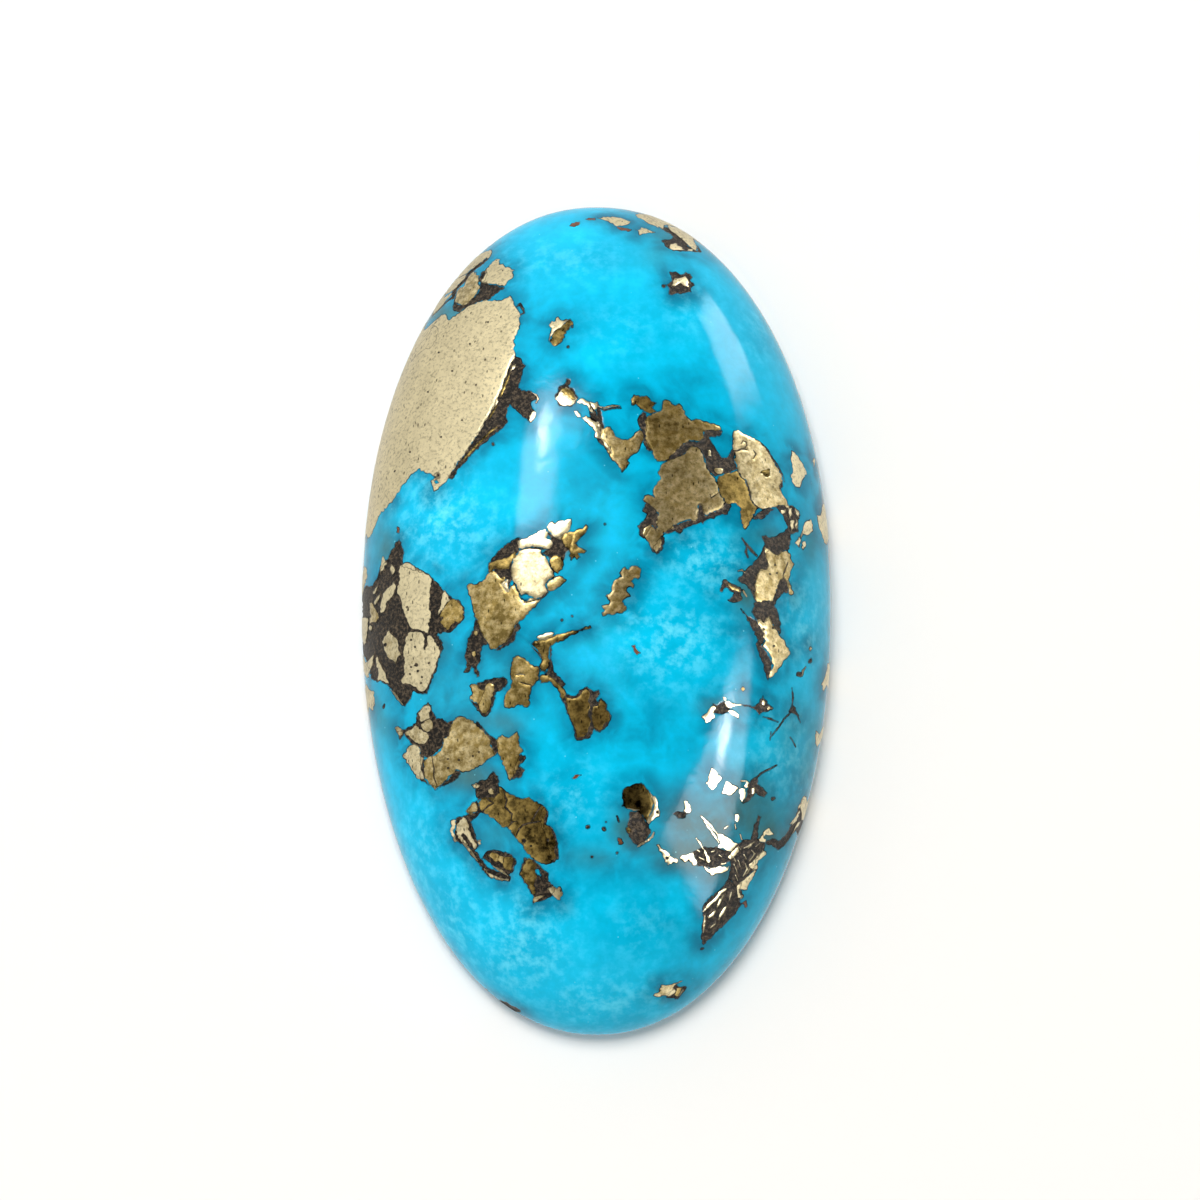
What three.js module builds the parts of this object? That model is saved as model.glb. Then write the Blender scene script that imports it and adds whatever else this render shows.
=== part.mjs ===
// A polished turquoise cabochon: one oval stone with a high domed face, a thin girdle and a flat back.
// Millimetres. The origin is the middle of the flat back, +Z points up through the dome, and +Y runs
// along the stone towards its fuller end.
import * as THREE from "three";

// Driving dimensions
const LENGTH = 36;
const WIDTH = 19.8;
const HEIGHT = 7.4;
const GIRDLE_HEIGHT = 0.6; // where the small bevel round the back meets the dome
const BACK_SHARE = 0.965; // size of the flat back against the girdle

// Plan outline: a superellipse that is fuller at the +Y end and widest a little towards that end
const FULL_END_POWER = 2.13;
const SLIM_END_POWER = 2.06;
const EGG_SHARE = 0.019;

// Dome profile: 2 and 2 would be a true ellipse, and a larger spread turns down later and steeper
const SPREAD_POWER = 2.3;
const RISE_POWER = 2;

// Facets
const DOME_RINGS = 26;
const SIDES = 96;

// The stone's blue, as seen from a step away
const TURQUOISE = new THREE.Color("#12b4de");
const POLISH_ROUGHNESS = 0.18;

// Half section of the stone, with its radius as a share of the girdle: back, bevel, then the dome to its top.
function sectionPoints() {
  const points = [new THREE.Vector2(0, 0), new THREE.Vector2(BACK_SHARE, 0)];
  const rise = HEIGHT - GIRDLE_HEIGHT;
  for (let ring = 0; ring < DOME_RINGS; ring++) {
    const angle = ((Math.PI / 2) * ring) / DOME_RINGS;
    const share = Math.cos(angle) ** (2 / SPREAD_POWER);
    points.push(new THREE.Vector2(share, GIRDLE_HEIGHT + rise * Math.sin(angle) ** (2 / RISE_POWER)));
  }
  points.push(new THREE.Vector2(0, HEIGHT));
  return points;
}

// The girdle's point in the direction of an angle about the stone's upright axis.
function girdlePoint(angle) {
  const across = Math.cos(angle);
  const along = Math.sin(angle);
  const power = along > 0 ? FULL_END_POWER : SLIM_END_POWER;
  const reach = (Math.abs(across) ** power + Math.abs(along) ** power) ** (-1 / power);
  const lengthShare = reach * along;
  const egg = 1 + EGG_SHARE * lengthShare * (1 - lengthShare ** 2);
  return new THREE.Vector2((WIDTH / 2) * reach * across * egg, (LENGTH / 2) * lengthShare);
}

// Turns the round lathe form into the oval one: each vertex keeps its share of the way to the girdle.
function ovalGeometry() {
  const geometry = new THREE.LatheGeometry(sectionPoints(), SIDES).rotateX(Math.PI / 2);
  const position = geometry.getAttribute("position");
  for (let i = 0; i < position.count; i++) {
    const x = position.getX(i);
    const y = position.getY(i);
    const girdle = girdlePoint(Math.atan2(y, x)).multiplyScalar(Math.hypot(x, y));
    position.setXY(i, girdle.x, girdle.y);
  }
  geometry.computeVertexNormals();
  return geometry;
}

const polishedTurquoise = new THREE.MeshStandardMaterial({
  color: TURQUOISE,
  roughness: POLISH_ROUGHNESS,
  metalness: 0,
});

const cabochon = new THREE.Mesh(ovalGeometry(), polishedTurquoise);
cabochon.name = "cabochon";

const stone = new THREE.Group();
stone.add(cabochon);

export default stone;
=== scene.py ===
"""Polished turquoise cabochon with flush pyrite plates and dark matrix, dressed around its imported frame."""

import math

import bpy
import numpy as np
from mathutils import Matrix, Vector, geometry, kdtree


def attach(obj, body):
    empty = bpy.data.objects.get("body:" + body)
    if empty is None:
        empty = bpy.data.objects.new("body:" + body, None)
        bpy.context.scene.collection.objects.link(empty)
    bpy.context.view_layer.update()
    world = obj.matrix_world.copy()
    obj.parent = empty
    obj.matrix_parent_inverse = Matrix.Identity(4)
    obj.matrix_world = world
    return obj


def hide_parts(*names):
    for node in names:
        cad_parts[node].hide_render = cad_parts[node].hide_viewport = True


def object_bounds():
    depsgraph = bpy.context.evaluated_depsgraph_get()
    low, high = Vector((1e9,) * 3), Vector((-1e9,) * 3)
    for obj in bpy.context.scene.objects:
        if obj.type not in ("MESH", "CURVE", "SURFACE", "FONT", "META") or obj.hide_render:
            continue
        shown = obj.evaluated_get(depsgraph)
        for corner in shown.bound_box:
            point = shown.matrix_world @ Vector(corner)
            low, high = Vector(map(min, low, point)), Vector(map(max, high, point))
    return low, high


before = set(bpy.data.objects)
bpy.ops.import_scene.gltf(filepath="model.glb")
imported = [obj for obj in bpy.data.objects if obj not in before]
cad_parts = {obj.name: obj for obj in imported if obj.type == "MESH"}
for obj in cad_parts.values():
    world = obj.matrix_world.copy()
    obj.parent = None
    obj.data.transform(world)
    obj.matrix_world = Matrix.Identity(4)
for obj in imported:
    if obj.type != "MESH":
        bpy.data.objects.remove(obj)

bl_info = {
    "name": "Turquoise Cabochon",
    "version": (1, 0, 0),
    "blender": (4, 5, 0),
    "location": "View3D > Sidebar > Cabochon",
    "description": "Builds a polished turquoise cabochon with pyrite plates, and a pale studio round it",
    "category": "Add Mesh",
}

NODE = "cabochon"
CAD_LOW, CAD_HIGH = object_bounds()
MM = 0.001

# Form of the stone, in millimetres, as the solid has it
STONE_WIDTH, STONE_LENGTH, STONE_HEIGHT = [side / MM for side in CAD_HIGH - CAD_LOW]
GIRDLE_HEIGHT = 0.6
BACK_SHARE = 0.965
FULL_END_POWER = 2.13
SLIM_END_POWER = 2.06
EGG_SHARE = 0.019
SPREAD_POWER = 2.3

# Radius at which the dome and bevel are rolled out flat, in millimetres
MEAN_RADIUS = 13.0

# How finely the form and the lines of sight are worked out
GIRDLE_STEPS = 4097
PROFILE_STEPS = 2001
DEEPEST_STEPS = 60
SURFACE_STEPS = 45
OUTLINE_STEPS = 24
NORMAL_STEP = 0.002
TINY = 1e-6

# Camera for a picture of 1200 by 1200 pixels: scale and place are fitted to the stone's outline there, and
# the elevation is assumed. Lengths are in millimetres.
PICTURE_SIDE = 1200
PIXELS_PER_MM = 23.93
STONE_PIXEL = (596.66, 595.99)
CAMERA_ELEVATION = math.radians(75)
CAMERA_DISTANCE = 320.0
AIM_HEIGHT = 4.0
SENSOR = 36.0
CLIP_START, CLIP_END = 10.0, 10000.0

# Kinds of face, in the order of the stone's materials
TURQUOISE, PYRITE, MATRIX, LIMONITE = range(4)

# Pyrite plates: a tone against the metal's own colour, then the outline in picture pixels. Each tone is
# partly the plate's own tarnish and partly painted reflection and shade: plates are made brighter or darker
# for how much light they mirror.
# A marking with points beyond the stone's outline runs on round its edge.
PYRITE_PLATES = {
    "upper_left_front": (1.0, [
        (489, 267), (493, 262), (496, 259), (500, 256), (503, 257), (500, 264), (503, 264), (505, 268),
        (510, 268), (514, 270), (512, 273), (513, 277), (507, 282), (504, 286), (498, 285), (492, 284),
        (485, 283), (483, 280), (486, 275)]),
    "upper_left_back": (0.82, [
        (483, 272), (481, 276), (480, 288), (477, 293), (474, 297), (468, 303), (464, 304), (462, 302),
        (453, 303), (453, 297), (458, 292), (462, 289), (462, 285), (465, 281), (470, 276),
        (477, 274)]),
    "upper_edge_a": (0.95, [(488, 258), (474, 269), (464, 277), (456, 262), (478, 242)]),
    "upper_edge_b": (0.95, [(463, 278), (461, 284), (452, 292), (438, 282), (450, 266)]),
    "upper_edge_c": (0.95, [(450, 294), (448, 299), (440, 307), (434, 310), (424, 298), (436, 286)]),
    "great": (1.0, [
        (510, 296), (503, 300), (488, 301), (486, 299), (480, 302), (467, 307), (458, 313), (450, 319),
        (445, 318), (440, 320), (434, 322), (426, 326), (408, 330), (390, 360), (370, 400), (356, 450),
        (346, 500), (342, 545), (364, 541), (371, 531), (379, 519), (388, 504), (395, 497), (400, 490),
        (402, 485), (406, 482), (411, 474), (420, 468), (421, 471), (430, 473), (437, 477), (431, 481),
        (434, 491), (438, 489), (447, 480), (456, 465), (465, 453), (473, 441), (481, 429), (489, 414),
        (494, 407), (498, 402), (497, 398), (500, 393), (503, 384), (507, 374), (511, 362), (515, 356),
        (513, 349), (515, 345), (513, 340), (517, 333), (520, 324), (519, 320), (520, 314),
        (516, 308)]),
    "great_chip": (1.15, [(510, 370), (512, 366), (516, 364), (515, 367), (511, 371)]),
    "ledge_chip": (1.1, [(533, 411), (536, 413), (535, 417), (531, 422), (529, 420), (529, 416)]),
    "top_a": (1.0, [
        (600, 218), (606, 217), (615, 217), (620, 218), (628, 221), (622, 224), (615, 225), (613, 226),
        (609, 223)]),
    "top_b": (1.0, [
        (632, 229), (636, 228), (636, 226), (641, 227), (650, 230), (645, 231), (639, 235),
        (636, 231)]),
    "top_edge_a": (0.95, [
        (643, 219), (650, 224), (662, 228), (674, 228), (690, 205), (660, 186), (640, 196)]),
    "top_edge_b": (0.95, [
        (671, 231), (674, 229), (684, 230), (697, 222), (708, 230), (697, 244), (690, 246), (683, 242),
        (676, 235)]),
    "top_white": (1.05, [
        (670, 244), (672, 241), (675, 244), (678, 245), (683, 249), (676, 251), (671, 249)]),
    "top_fleck": (1.0, [(684, 246), (687, 245), (688, 248), (685, 249)]),
    "star_top": (1.0, [
        (675, 278), (680, 278), (685, 276), (688, 280), (689, 287), (684, 286), (681, 283), (675, 286),
        (671, 287), (673, 281)]),
    "pale_hook": (0.95, [
        (549, 325), (552, 321), (554, 322), (558, 317), (560, 320), (564, 321), (570, 319), (567, 322),
        (563, 325), (560, 328), (556, 330), (552, 335), (549, 341), (551, 333), (552, 328)]),
    "dark_hook": (0.3, [
        (570, 319), (573, 322), (573, 325), (570, 327), (566, 331), (562, 341), (558, 344), (554, 346),
        (550, 342), (552, 336), (556, 330), (560, 328), (563, 325)]),
    "chain_white": (1.05, [
        (555, 399), (559, 393), (562, 389), (566, 387), (571, 390), (574, 394), (577, 399), (575, 402),
        (572, 405), (565, 406), (560, 404)]),
    "chain_pale": (1.05, [
        (577, 402), (580, 399), (584, 399), (589, 402), (593, 403), (597, 402), (598, 406), (594, 410),
        (594, 413), (590, 411), (587, 405), (582, 403)]),
    "chain_dot": (1.1, [(574, 411), (577, 411), (580, 414), (581, 417), (578, 417)]),
    "chain_run": (1.1, [
        (582, 418), (586, 416), (590, 418), (594, 421), (600, 423), (600, 435), (602, 439), (595, 437),
        (596, 432), (593, 427), (589, 424)]),
    "foot": (0.75, [
        (600, 425), (604, 429), (607, 427), (610, 427), (613, 431), (615, 436), (619, 438), (624, 440),
        (628, 440), (634, 436), (637, 432), (640, 430), (643, 434), (644, 440), (640, 446), (638, 451),
        (630, 456), (627, 460), (629, 463), (626, 468), (622, 472), (619, 467), (610, 456), (606, 448),
        (601, 437)]),
    "centre_small": (0.6, [
        (631, 400), (634, 395), (640, 397), (646, 396), (651, 401), (656, 403), (652, 407), (653, 409),
        (657, 412), (652, 413), (644, 411), (640, 407), (636, 404), (632, 405)]),
    "centre_upper": (0.72, [
        (645, 434), (646, 424), (645, 420), (647, 417), (655, 413), (661, 411), (663, 403), (665, 400),
        (669, 401), (675, 406), (679, 404), (682, 407), (686, 416), (691, 421), (696, 419), (704, 422),
        (710, 424), (714, 424), (719, 426), (721, 430), (716, 431), (709, 430), (703, 432), (704, 438),
        (699, 441), (694, 440), (689, 440), (682, 445), (675, 452), (671, 455), (669, 459), (664, 461),
        (657, 461), (654, 456), (653, 451), (648, 446), (646, 440)]),
    "centre_great": (0.8, [
        (692, 446), (696, 447), (700, 450), (703, 455), (706, 466), (710, 474), (715, 479), (718, 488),
        (720, 495), (725, 502), (722, 508), (714, 511), (706, 515), (703, 513), (702, 506), (700, 503),
        (698, 505), (698, 518), (695, 521), (690, 519), (680, 522), (673, 525), (674, 528), (667, 531),
        (661, 536), (662, 541), (661, 547), (656, 552), (652, 549), (645, 537), (643, 533), (644, 529),
        (651, 524), (656, 530), (658, 527), (656, 522), (659, 515), (656, 510), (649, 504), (643, 500),
        (645, 496), (648, 495), (655, 498), (653, 490), (655, 486), (661, 479), (658, 472), (661, 466),
        (668, 460), (678, 457), (683, 455), (688, 450)]),
    "centre_middle": (0.62, [
        (717, 480), (719, 476), (728, 473), (733, 472), (737, 471), (740, 476), (745, 481), (748, 488),
        (750, 497), (752, 503), (757, 507), (755, 511), (749, 524), (745, 529), (743, 527), (740, 512),
        (741, 508), (736, 503), (728, 504), (721, 495), (718, 486)]),
    "centre_right": (0.82, [
        (734, 431), (738, 430), (742, 433), (752, 438), (761, 443), (768, 452), (771, 458), (779, 470),
        (783, 481), (779, 486), (781, 491), (784, 497), (789, 508), (783, 505), (778, 505), (775, 507),
        (763, 509), (758, 507), (753, 503), (751, 498), (749, 488), (747, 481), (741, 476), (738, 470),
        (736, 463), (734, 459), (736, 456), (733, 448), (733, 441)]),
    "seam_bit_a": (0.9, [(708, 450), (710, 450), (711, 456), (708, 456)]),
    "seam_bit_b": (0.85, [(714, 469), (718, 468), (723, 469), (723, 472), (720, 474), (716, 473)]),
    "right_slip_a": (1.0, [(781, 510), (786, 509), (785, 513), (782, 514)]),
    "right_slip_b": (1.0, [(788, 508), (792, 508), (792, 514), (790, 519)]),
    "right_slip_c": (1.0, [(795, 508), (799, 511), (799, 518), (796, 514)]),
    "right_slip_d": (1.0, [(790, 521), (794, 520), (794, 528), (791, 532)]),
    "right_slip_e": (1.0, [(796, 519), (798, 523), (797, 531), (795, 527)]),
    "right_step": (1.0, [
        (805, 522), (811, 522), (813, 528), (813, 533), (809, 534), (803, 533), (801, 538),
        (803, 529)]),
    "right_foot_a": (1.0, [(795, 543), (799, 537), (801, 540), (799, 547)]),
    "right_foot_b": (1.0, [(803, 549), (802, 543), (805, 540), (806, 543)]),
    "right_leaf": (1.0, [
        (792, 452), (795, 454), (799, 459), (803, 464), (806, 470), (805, 478), (802, 483), (800, 488),
        (797, 487), (793, 483), (791, 477), (793, 469), (791, 460)]),
    "right_leaf_dot": (1.0, [(813, 463), (815, 463), (816, 467), (814, 468)]),
    "right_edge": (0.95, [
        (822, 507), (817, 514), (818, 522), (824, 538), (827, 542), (842, 536), (842, 512)]),
    "right_edge_low": (0.95, [(829, 664), (826, 674), (822, 680), (824, 688), (840, 690), (846, 665)]),
    "right_low_edge": (0.95, [(816, 731), (818, 729), (834, 732), (832, 746), (816, 741)]),
    "right_plate": (0.78, [
        (765, 547), (769, 549), (774, 554), (778, 555), (781, 552), (787, 551), (790, 554), (791, 560),
        (794, 564), (790, 575), (788, 580), (791, 586), (793, 594), (789, 594), (787, 582), (784, 577),
        (780, 580), (775, 594), (773, 601), (767, 601), (757, 602), (755, 599), (756, 580), (757, 574),
        (760, 570), (767, 569), (768, 566), (765, 552)]),
    "right_plate_low": (0.8, [
        (757, 620), (760, 619), (764, 623), (766, 618), (769, 616), (771, 620), (774, 627), (778, 633),
        (785, 643), (790, 652), (787, 658), (783, 661), (781, 666), (772, 677), (769, 678), (770, 672),
        (774, 665), (769, 652), (763, 646), (766, 641), (763, 637), (765, 633), (761, 629)]),
    "right_arm": (0.7, [(728, 583), (733, 586), (738, 588), (740, 592), (734, 590), (729, 587)]),
    "ragged": (0.75, [
        (622, 570), (625, 567), (629, 570), (632, 566), (637, 566), (641, 569), (640, 574), (638, 579),
        (634, 578), (631, 581), (634, 585), (633, 588), (629, 586), (626, 590), (630, 596), (625, 598),
        (622, 602), (626, 606), (626, 610), (622, 613), (617, 612), (612, 615), (607, 614), (603, 616),
        (602, 613), (605, 610), (602, 606), (609, 605), (610, 600), (606, 596), (612, 591), (612, 586),
        (614, 581), (622, 577), (620, 573)]),
    "cream_top": (1.0, [
        (547, 527), (552, 522), (556, 524), (560, 521), (565, 521), (571, 519), (571, 524), (570, 529),
        (566, 533), (560, 540), (556, 538), (552, 535)]),
    "cream_long": (1.1, [
        (518, 541), (525, 539), (533, 535), (540, 531), (545, 529), (548, 532), (546, 538), (552, 541),
        (553, 544), (549, 549), (545, 549), (538, 547), (530, 547), (522, 549), (518, 548)]),
    "cream_great": (0.88, [
        (513, 560), (519, 551), (526, 549), (534, 548), (541, 550), (541, 554), (546, 558), (549, 565),
        (553, 572), (554, 576), (549, 579), (545, 585), (548, 591), (542, 597), (534, 599), (531, 596),
        (526, 593), (521, 596), (517, 587), (511, 576), (511, 569)]),
    "cream_side": (0.5, [
        (550, 560), (553, 556), (557, 555), (561, 557), (563, 563), (562, 569), (558, 573),
        (551, 567)]),
    "cream_low": (0.75, [
        (547, 584), (551, 580), (557, 577), (562, 577), (566, 580), (563, 583), (558, 587), (552, 591),
        (548, 590)]),
    "bronze_arm": (0.55, [
        (560, 538), (565, 533), (572, 532), (577, 530), (583, 529), (586, 525), (588, 527), (586, 532),
        (580, 538), (575, 543), (578, 547), (586, 551), (584, 553), (578, 553), (580, 557), (577, 559),
        (574, 556), (571, 560), (569, 549), (565, 547)]),
    "olive": (0.72, [
        (467, 586), (469, 584), (475, 585), (482, 582), (486, 577), (489, 573), (494, 571), (500, 578),
        (505, 577), (506, 582), (503, 585), (507, 592), (510, 588), (514, 584), (519, 595), (524, 602),
        (531, 598), (540, 600), (536, 605), (526, 615), (522, 620), (516, 624), (511, 636), (506, 643),
        (499, 646), (496, 649), (491, 649), (488, 643), (481, 632), (476, 618), (471, 599)]),
    "olive_cap": (0.6, [
        (489, 564), (493, 562), (497, 560), (504, 558), (510, 556), (515, 551), (516, 556), (511, 562),
        (509, 569), (501, 570), (495, 567), (492, 572), (489, 572)]),
    "olive_chip": (1.15, [(501, 583), (508, 579), (509, 592), (506, 592), (504, 588)]),
    "left_top_a": (1.0, [
        (383, 558), (385, 562), (387, 565), (384, 568), (383, 572), (380, 574), (381, 567)]),
    "left_top_b": (1.0, [(391, 564), (394, 567), (395, 570), (392, 575), (390, 569)]),
    "left_great": (1.0, [
        (400, 566), (405, 563), (409, 563), (419, 570), (429, 575), (432, 580), (430, 590), (429, 605),
        (431, 618), (428, 623), (429, 629), (428, 633), (420, 630), (411, 628), (407, 619), (402, 608),
        (402, 603), (397, 591), (400, 580), (399, 570)]),
    "left_back": (1.0, [
        (394, 581), (396, 586), (393, 595), (387, 602), (384, 611), (381, 611), (380, 605), (383, 594),
        (389, 588)]),
    "left_wing": (0.68, [
        (450, 600), (453, 599), (457, 600), (461, 605), (464, 612), (461, 621), (458, 623), (455, 621),
        (450, 627), (447, 630), (440, 622), (442, 620), (440, 616), (442, 611)]),
    "left_wing_edge": (1.0, [
        (444, 590), (448, 595), (450, 600), (446, 604), (440, 613), (438, 615), (442, 598)]),
    "left_lower": (0.95, [
        (406, 637), (408, 633), (413, 632), (419, 632), (423, 634), (425, 639), (424, 650), (427, 646),
        (427, 640), (427, 636), (430, 635), (436, 643), (440, 651), (439, 656), (435, 669), (430, 680),
        (426, 689), (424, 691), (419, 691), (416, 687), (408, 684), (403, 684), (401, 680), (405, 674),
        (404, 668), (405, 662), (403, 652), (405, 645)]),
    "left_inner": (0.9, [
        (389, 630), (391, 634), (396, 638), (398, 643), (398, 648), (401, 655), (397, 658), (395, 664),
        (393, 660), (387, 655), (385, 650), (382, 640), (384, 635)]),
    "left_slip_a": (0.95, [(373, 588), (375, 585), (378, 584), (376, 588), (373, 591)]),
    "left_slip_b": (0.9, [(374, 600), (377, 594), (380, 593), (378, 598), (375, 602)]),
    "left_slip_c": (0.8, [
        (369, 606), (373, 602), (376, 607), (379, 615), (375, 622), (370, 628), (371, 618)]),
    "left_slip_d": (0.9, [(370, 629), (372, 630), (371, 635), (369, 633)]),
    "left_edge_a": (0.95, [(366, 571), (367, 580), (364, 591), (346, 590), (346, 570)]),
    "left_edge_b": (0.95, [(364, 616), (368, 622), (366, 640), (346, 642), (346, 618)]),
    "left_edge_c": (0.95, [(374, 658), (373, 664), (369, 668), (367, 676), (350, 676), (348, 660)]),
    "left_edge_d": (0.95, [(373, 687), (374, 695), (372, 711), (356, 714), (354, 690)]),
    "left_foot": (1.0, [
        (376, 662), (378, 660), (380, 666), (386, 677), (389, 684), (386, 685), (378, 683), (379, 677),
        (377, 668)]),
    "stem_dot_a": (0.7, [(474, 631), (477, 631), (478, 634), (476, 636), (474, 634)]),
    "stem_dot_b": (0.7, [(472, 652), (475, 651), (476, 655), (474, 657), (472, 655)]),
    "mid_left": (0.72, [
        (470, 686), (474, 684), (478, 685), (480, 689), (485, 690), (486, 685), (489, 683), (494, 685),
        (494, 691), (491, 700), (489, 710), (486, 715), (482, 713), (478, 704), (470, 699),
        (473, 693)]),
    "mid_right": (0.7, [
        (513, 658), (516, 656), (523, 658), (530, 664), (534, 667), (538, 667), (539, 671), (538, 680),
        (532, 686), (528, 700), (530, 704), (527, 707), (518, 704), (514, 707), (509, 708), (505, 707),
        (504, 701), (506, 694), (510, 689), (512, 683), (511, 670), (512, 663)]),
    "branch_pale": (1.0, [
        (537, 637), (541, 635), (547, 633), (554, 633), (553, 637), (546, 640), (540, 640)]),
    "branch": (0.5, [
        (532, 644), (535, 641), (541, 640), (548, 639), (554, 636), (568, 632), (582, 629), (590, 626),
        (591, 628), (578, 632), (570, 635), (564, 640), (556, 642), (550, 646), (548, 656), (550, 661),
        (545, 672), (541, 671), (540, 667), (543, 660), (538, 650)]),
    "branch_link": (0.65, [
        (540, 677), (544, 675), (550, 676), (555, 679), (561, 687), (565, 692), (566, 698), (562, 700),
        (558, 688), (549, 681), (541, 683)]),
    "cluster_left": (0.6, [
        (566, 697), (572, 699), (578, 697), (582, 692), (586, 689), (590, 693), (588, 700), (590, 706),
        (588, 714), (591, 722), (588, 730), (584, 737), (577, 738), (576, 730), (571, 719),
        (567, 709)]),
    "cluster_right": (0.65, [
        (593, 707), (598, 706), (601, 700), (606, 705), (605, 709), (610, 714), (610, 720), (604, 724),
        (603, 729), (598, 730), (594, 727), (592, 718)]),
    "low_left_a": (0.9, [
        (418, 713), (421, 709), (428, 703), (431, 708), (429, 713), (430, 718), (421, 722)]),
    "low_left_b": (0.85, [
        (421, 724), (425, 721), (430, 719), (432, 721), (433, 726), (431, 730), (427, 732),
        (422, 728)]),
    "low_left_c": (0.85, [
        (405, 733), (409, 730), (413, 728), (416, 724), (419, 729), (426, 732), (429, 738), (424, 744),
        (419, 744), (414, 741)]),
    "low_left_d": (0.85, [(395, 730), (398, 728), (402, 730), (403, 733), (400, 740), (398, 735)]),
    "low_left_e": (0.9, [
        (403, 756), (406, 754), (407, 750), (412, 745), (417, 745), (420, 749), (421, 757), (424, 758),
        (421, 767), (424, 779), (418, 779), (411, 768), (405, 759)]),
    "gold_great": (0.75, [
        (424, 762), (428, 757), (433, 756), (437, 754), (441, 751), (443, 745), (443, 738), (446, 738),
        (449, 736), (449, 731), (453, 721), (458, 717), (463, 717), (473, 721), (480, 729), (489, 737),
        (491, 740), (490, 745), (496, 754), (490, 758), (485, 762), (474, 769), (468, 771), (463, 772),
        (456, 769), (455, 773), (450, 775), (443, 783), (435, 790), (429, 784), (424, 774)]),
    "gold_right": (0.7, [
        (496, 740), (502, 735), (509, 738), (513, 735), (517, 732), (519, 737), (518, 741), (523, 751),
        (519, 756), (520, 762), (516, 773), (510, 780), (505, 769), (501, 757), (498, 752)]),
    "ring_bit_a": (0.85, [(472, 785), (476, 783), (480, 785), (478, 788), (474, 788)]),
    "ring_bit_b": (0.8, [(488, 790), (491, 788), (494, 790), (494, 794), (490, 794)]),
    "ring_great": (0.5, [
        (478, 803), (482, 798), (488, 798), (494, 798), (500, 793), (499, 787), (508, 793), (516, 797),
        (523, 799), (529, 797), (538, 804), (543, 806), (547, 812), (544, 819), (544, 824), (551, 829),
        (556, 843), (554, 848), (556, 858), (552, 862), (546, 864), (537, 861), (528, 854), (521, 843),
        (514, 836), (508, 827), (502, 827), (495, 819), (486, 814), (480, 809)]),
    "ring_left_top": (0.75, [(466, 811), (470, 806), (474, 802), (477, 806), (477, 811), (470, 815)]),
    "ring_left_rim": (1.15, [
        (451, 821), (456, 820), (455, 826), (453, 832), (457, 841), (455, 842), (450, 831),
        (452, 826)]),
    "ring_left": (0.9, [
        (457, 824), (460, 820), (463, 817), (467, 820), (469, 825), (468, 829), (474, 840), (477, 845),
        (475, 849), (468, 839), (463, 833), (461, 836), (468, 844), (467, 846), (458, 838),
        (456, 830)]),
    "ring_tail": (0.9, [
        (484, 868), (488, 873), (496, 876), (504, 879), (509, 879), (508, 881), (500, 880), (490, 877),
        (485, 872)]),
    "ring_shelf": (0.7, [
        (488, 856), (492, 852), (498, 854), (504, 857), (503, 864), (500, 862), (494, 861)]),
    "ring_shelf_dark": (0.35, [(504, 857), (512, 856), (514, 861), (511, 871), (507, 870), (503, 866)]),
    "ring_dot": (0.9, [(478, 840), (481, 840), (481, 844), (479, 845)]),
    "hang_left": (0.5, [
        (528, 858), (532, 860), (537, 866), (535, 870), (537, 876), (534, 884), (536, 892), (533, 895),
        (526, 882), (520, 874), (524, 865)]),
    "hang_end": (0.9, [
        (550, 892), (547, 889), (553, 886), (557, 889), (560, 887), (563, 893), (560, 900),
        (556, 898)]),
    "hang_low": (0.8, [(534, 903), (533, 899), (538, 896), (545, 895), (541, 898)]),
    "dark_shield": (0.12, [
        (623, 790), (628, 787), (641, 783), (644, 785), (651, 794), (654, 803), (652, 808), (648, 822),
        (644, 817), (637, 810), (630, 809), (622, 806), (624, 802), (623, 796)]),
    "shield_rim": (1.0, [
        (650, 791), (653, 796), (656, 798), (658, 803), (658, 808), (660, 812), (659, 816), (653, 820),
        (649, 824), (647, 822), (653, 810), (654, 803), (651, 796)]),
    "shield_patch": (0.7, [(626, 828), (629, 826), (631, 829), (630, 833), (627, 832)]),
    "bit_white_a": (1.1, [
        (725, 702), (729, 701), (735, 704), (742, 705), (735, 706), (731, 708), (726, 706)]),
    "bit_white_b": (1.1, [(723, 697), (726, 698), (726, 701), (724, 700)]),
    "bit_white_c": (1.1, [(728, 711), (731, 710), (739, 715), (738, 718), (733, 715)]),
    "bit_gold": (1.0, [
        (702, 717), (706, 714), (710, 708), (714, 706), (716, 708), (713, 713), (714, 718),
        (706, 723)]),
    "bit_star_a": (0.9, [(762, 704), (764, 699), (766, 703), (764, 706)]),
    "bit_star_b": (0.9, [(767, 709), (769, 706), (772, 708), (769, 710)]),
    "white_a": (1.1, [
        (712, 768), (714, 770), (718, 774), (722, 778), (719, 782), (712, 790), (706, 783), (709, 779),
        (710, 773)]),
    "white_b": (1.1, [(726, 781), (730, 783), (738, 788), (731, 795), (722, 793), (725, 785)]),
    "white_c": (1.1, [(740, 789), (745, 789), (746, 793), (745, 798), (742, 802), (739, 792)]),
    "white_d": (1.1, [(744, 786), (747, 781), (749, 783), (748, 787), (746, 788)]),
    "white_e": (1.1, [
        (684, 811), (685, 806), (684, 801), (687, 801), (690, 805), (691, 810), (689, 813)]),
    "gold_speck": (0.9, [(752, 789), (755, 787), (755, 793), (752, 794)]),
    "star_left": (1.0, [
        (657, 845), (659, 845), (663, 850), (667, 852), (674, 859), (678, 860), (677, 863), (673, 862),
        (668, 865), (664, 858)]),
    "star_mid": (1.1, [
        (680, 858), (683, 855), (687, 855), (693, 853), (694, 858), (697, 862), (696, 865), (693, 865),
        (689, 859), (685, 862)]),
    "star_slip": (1.1, [(703, 848), (706, 851), (711, 861), (709, 863), (706, 861), (706, 857)]),
    "star_low": (1.05, [
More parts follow.
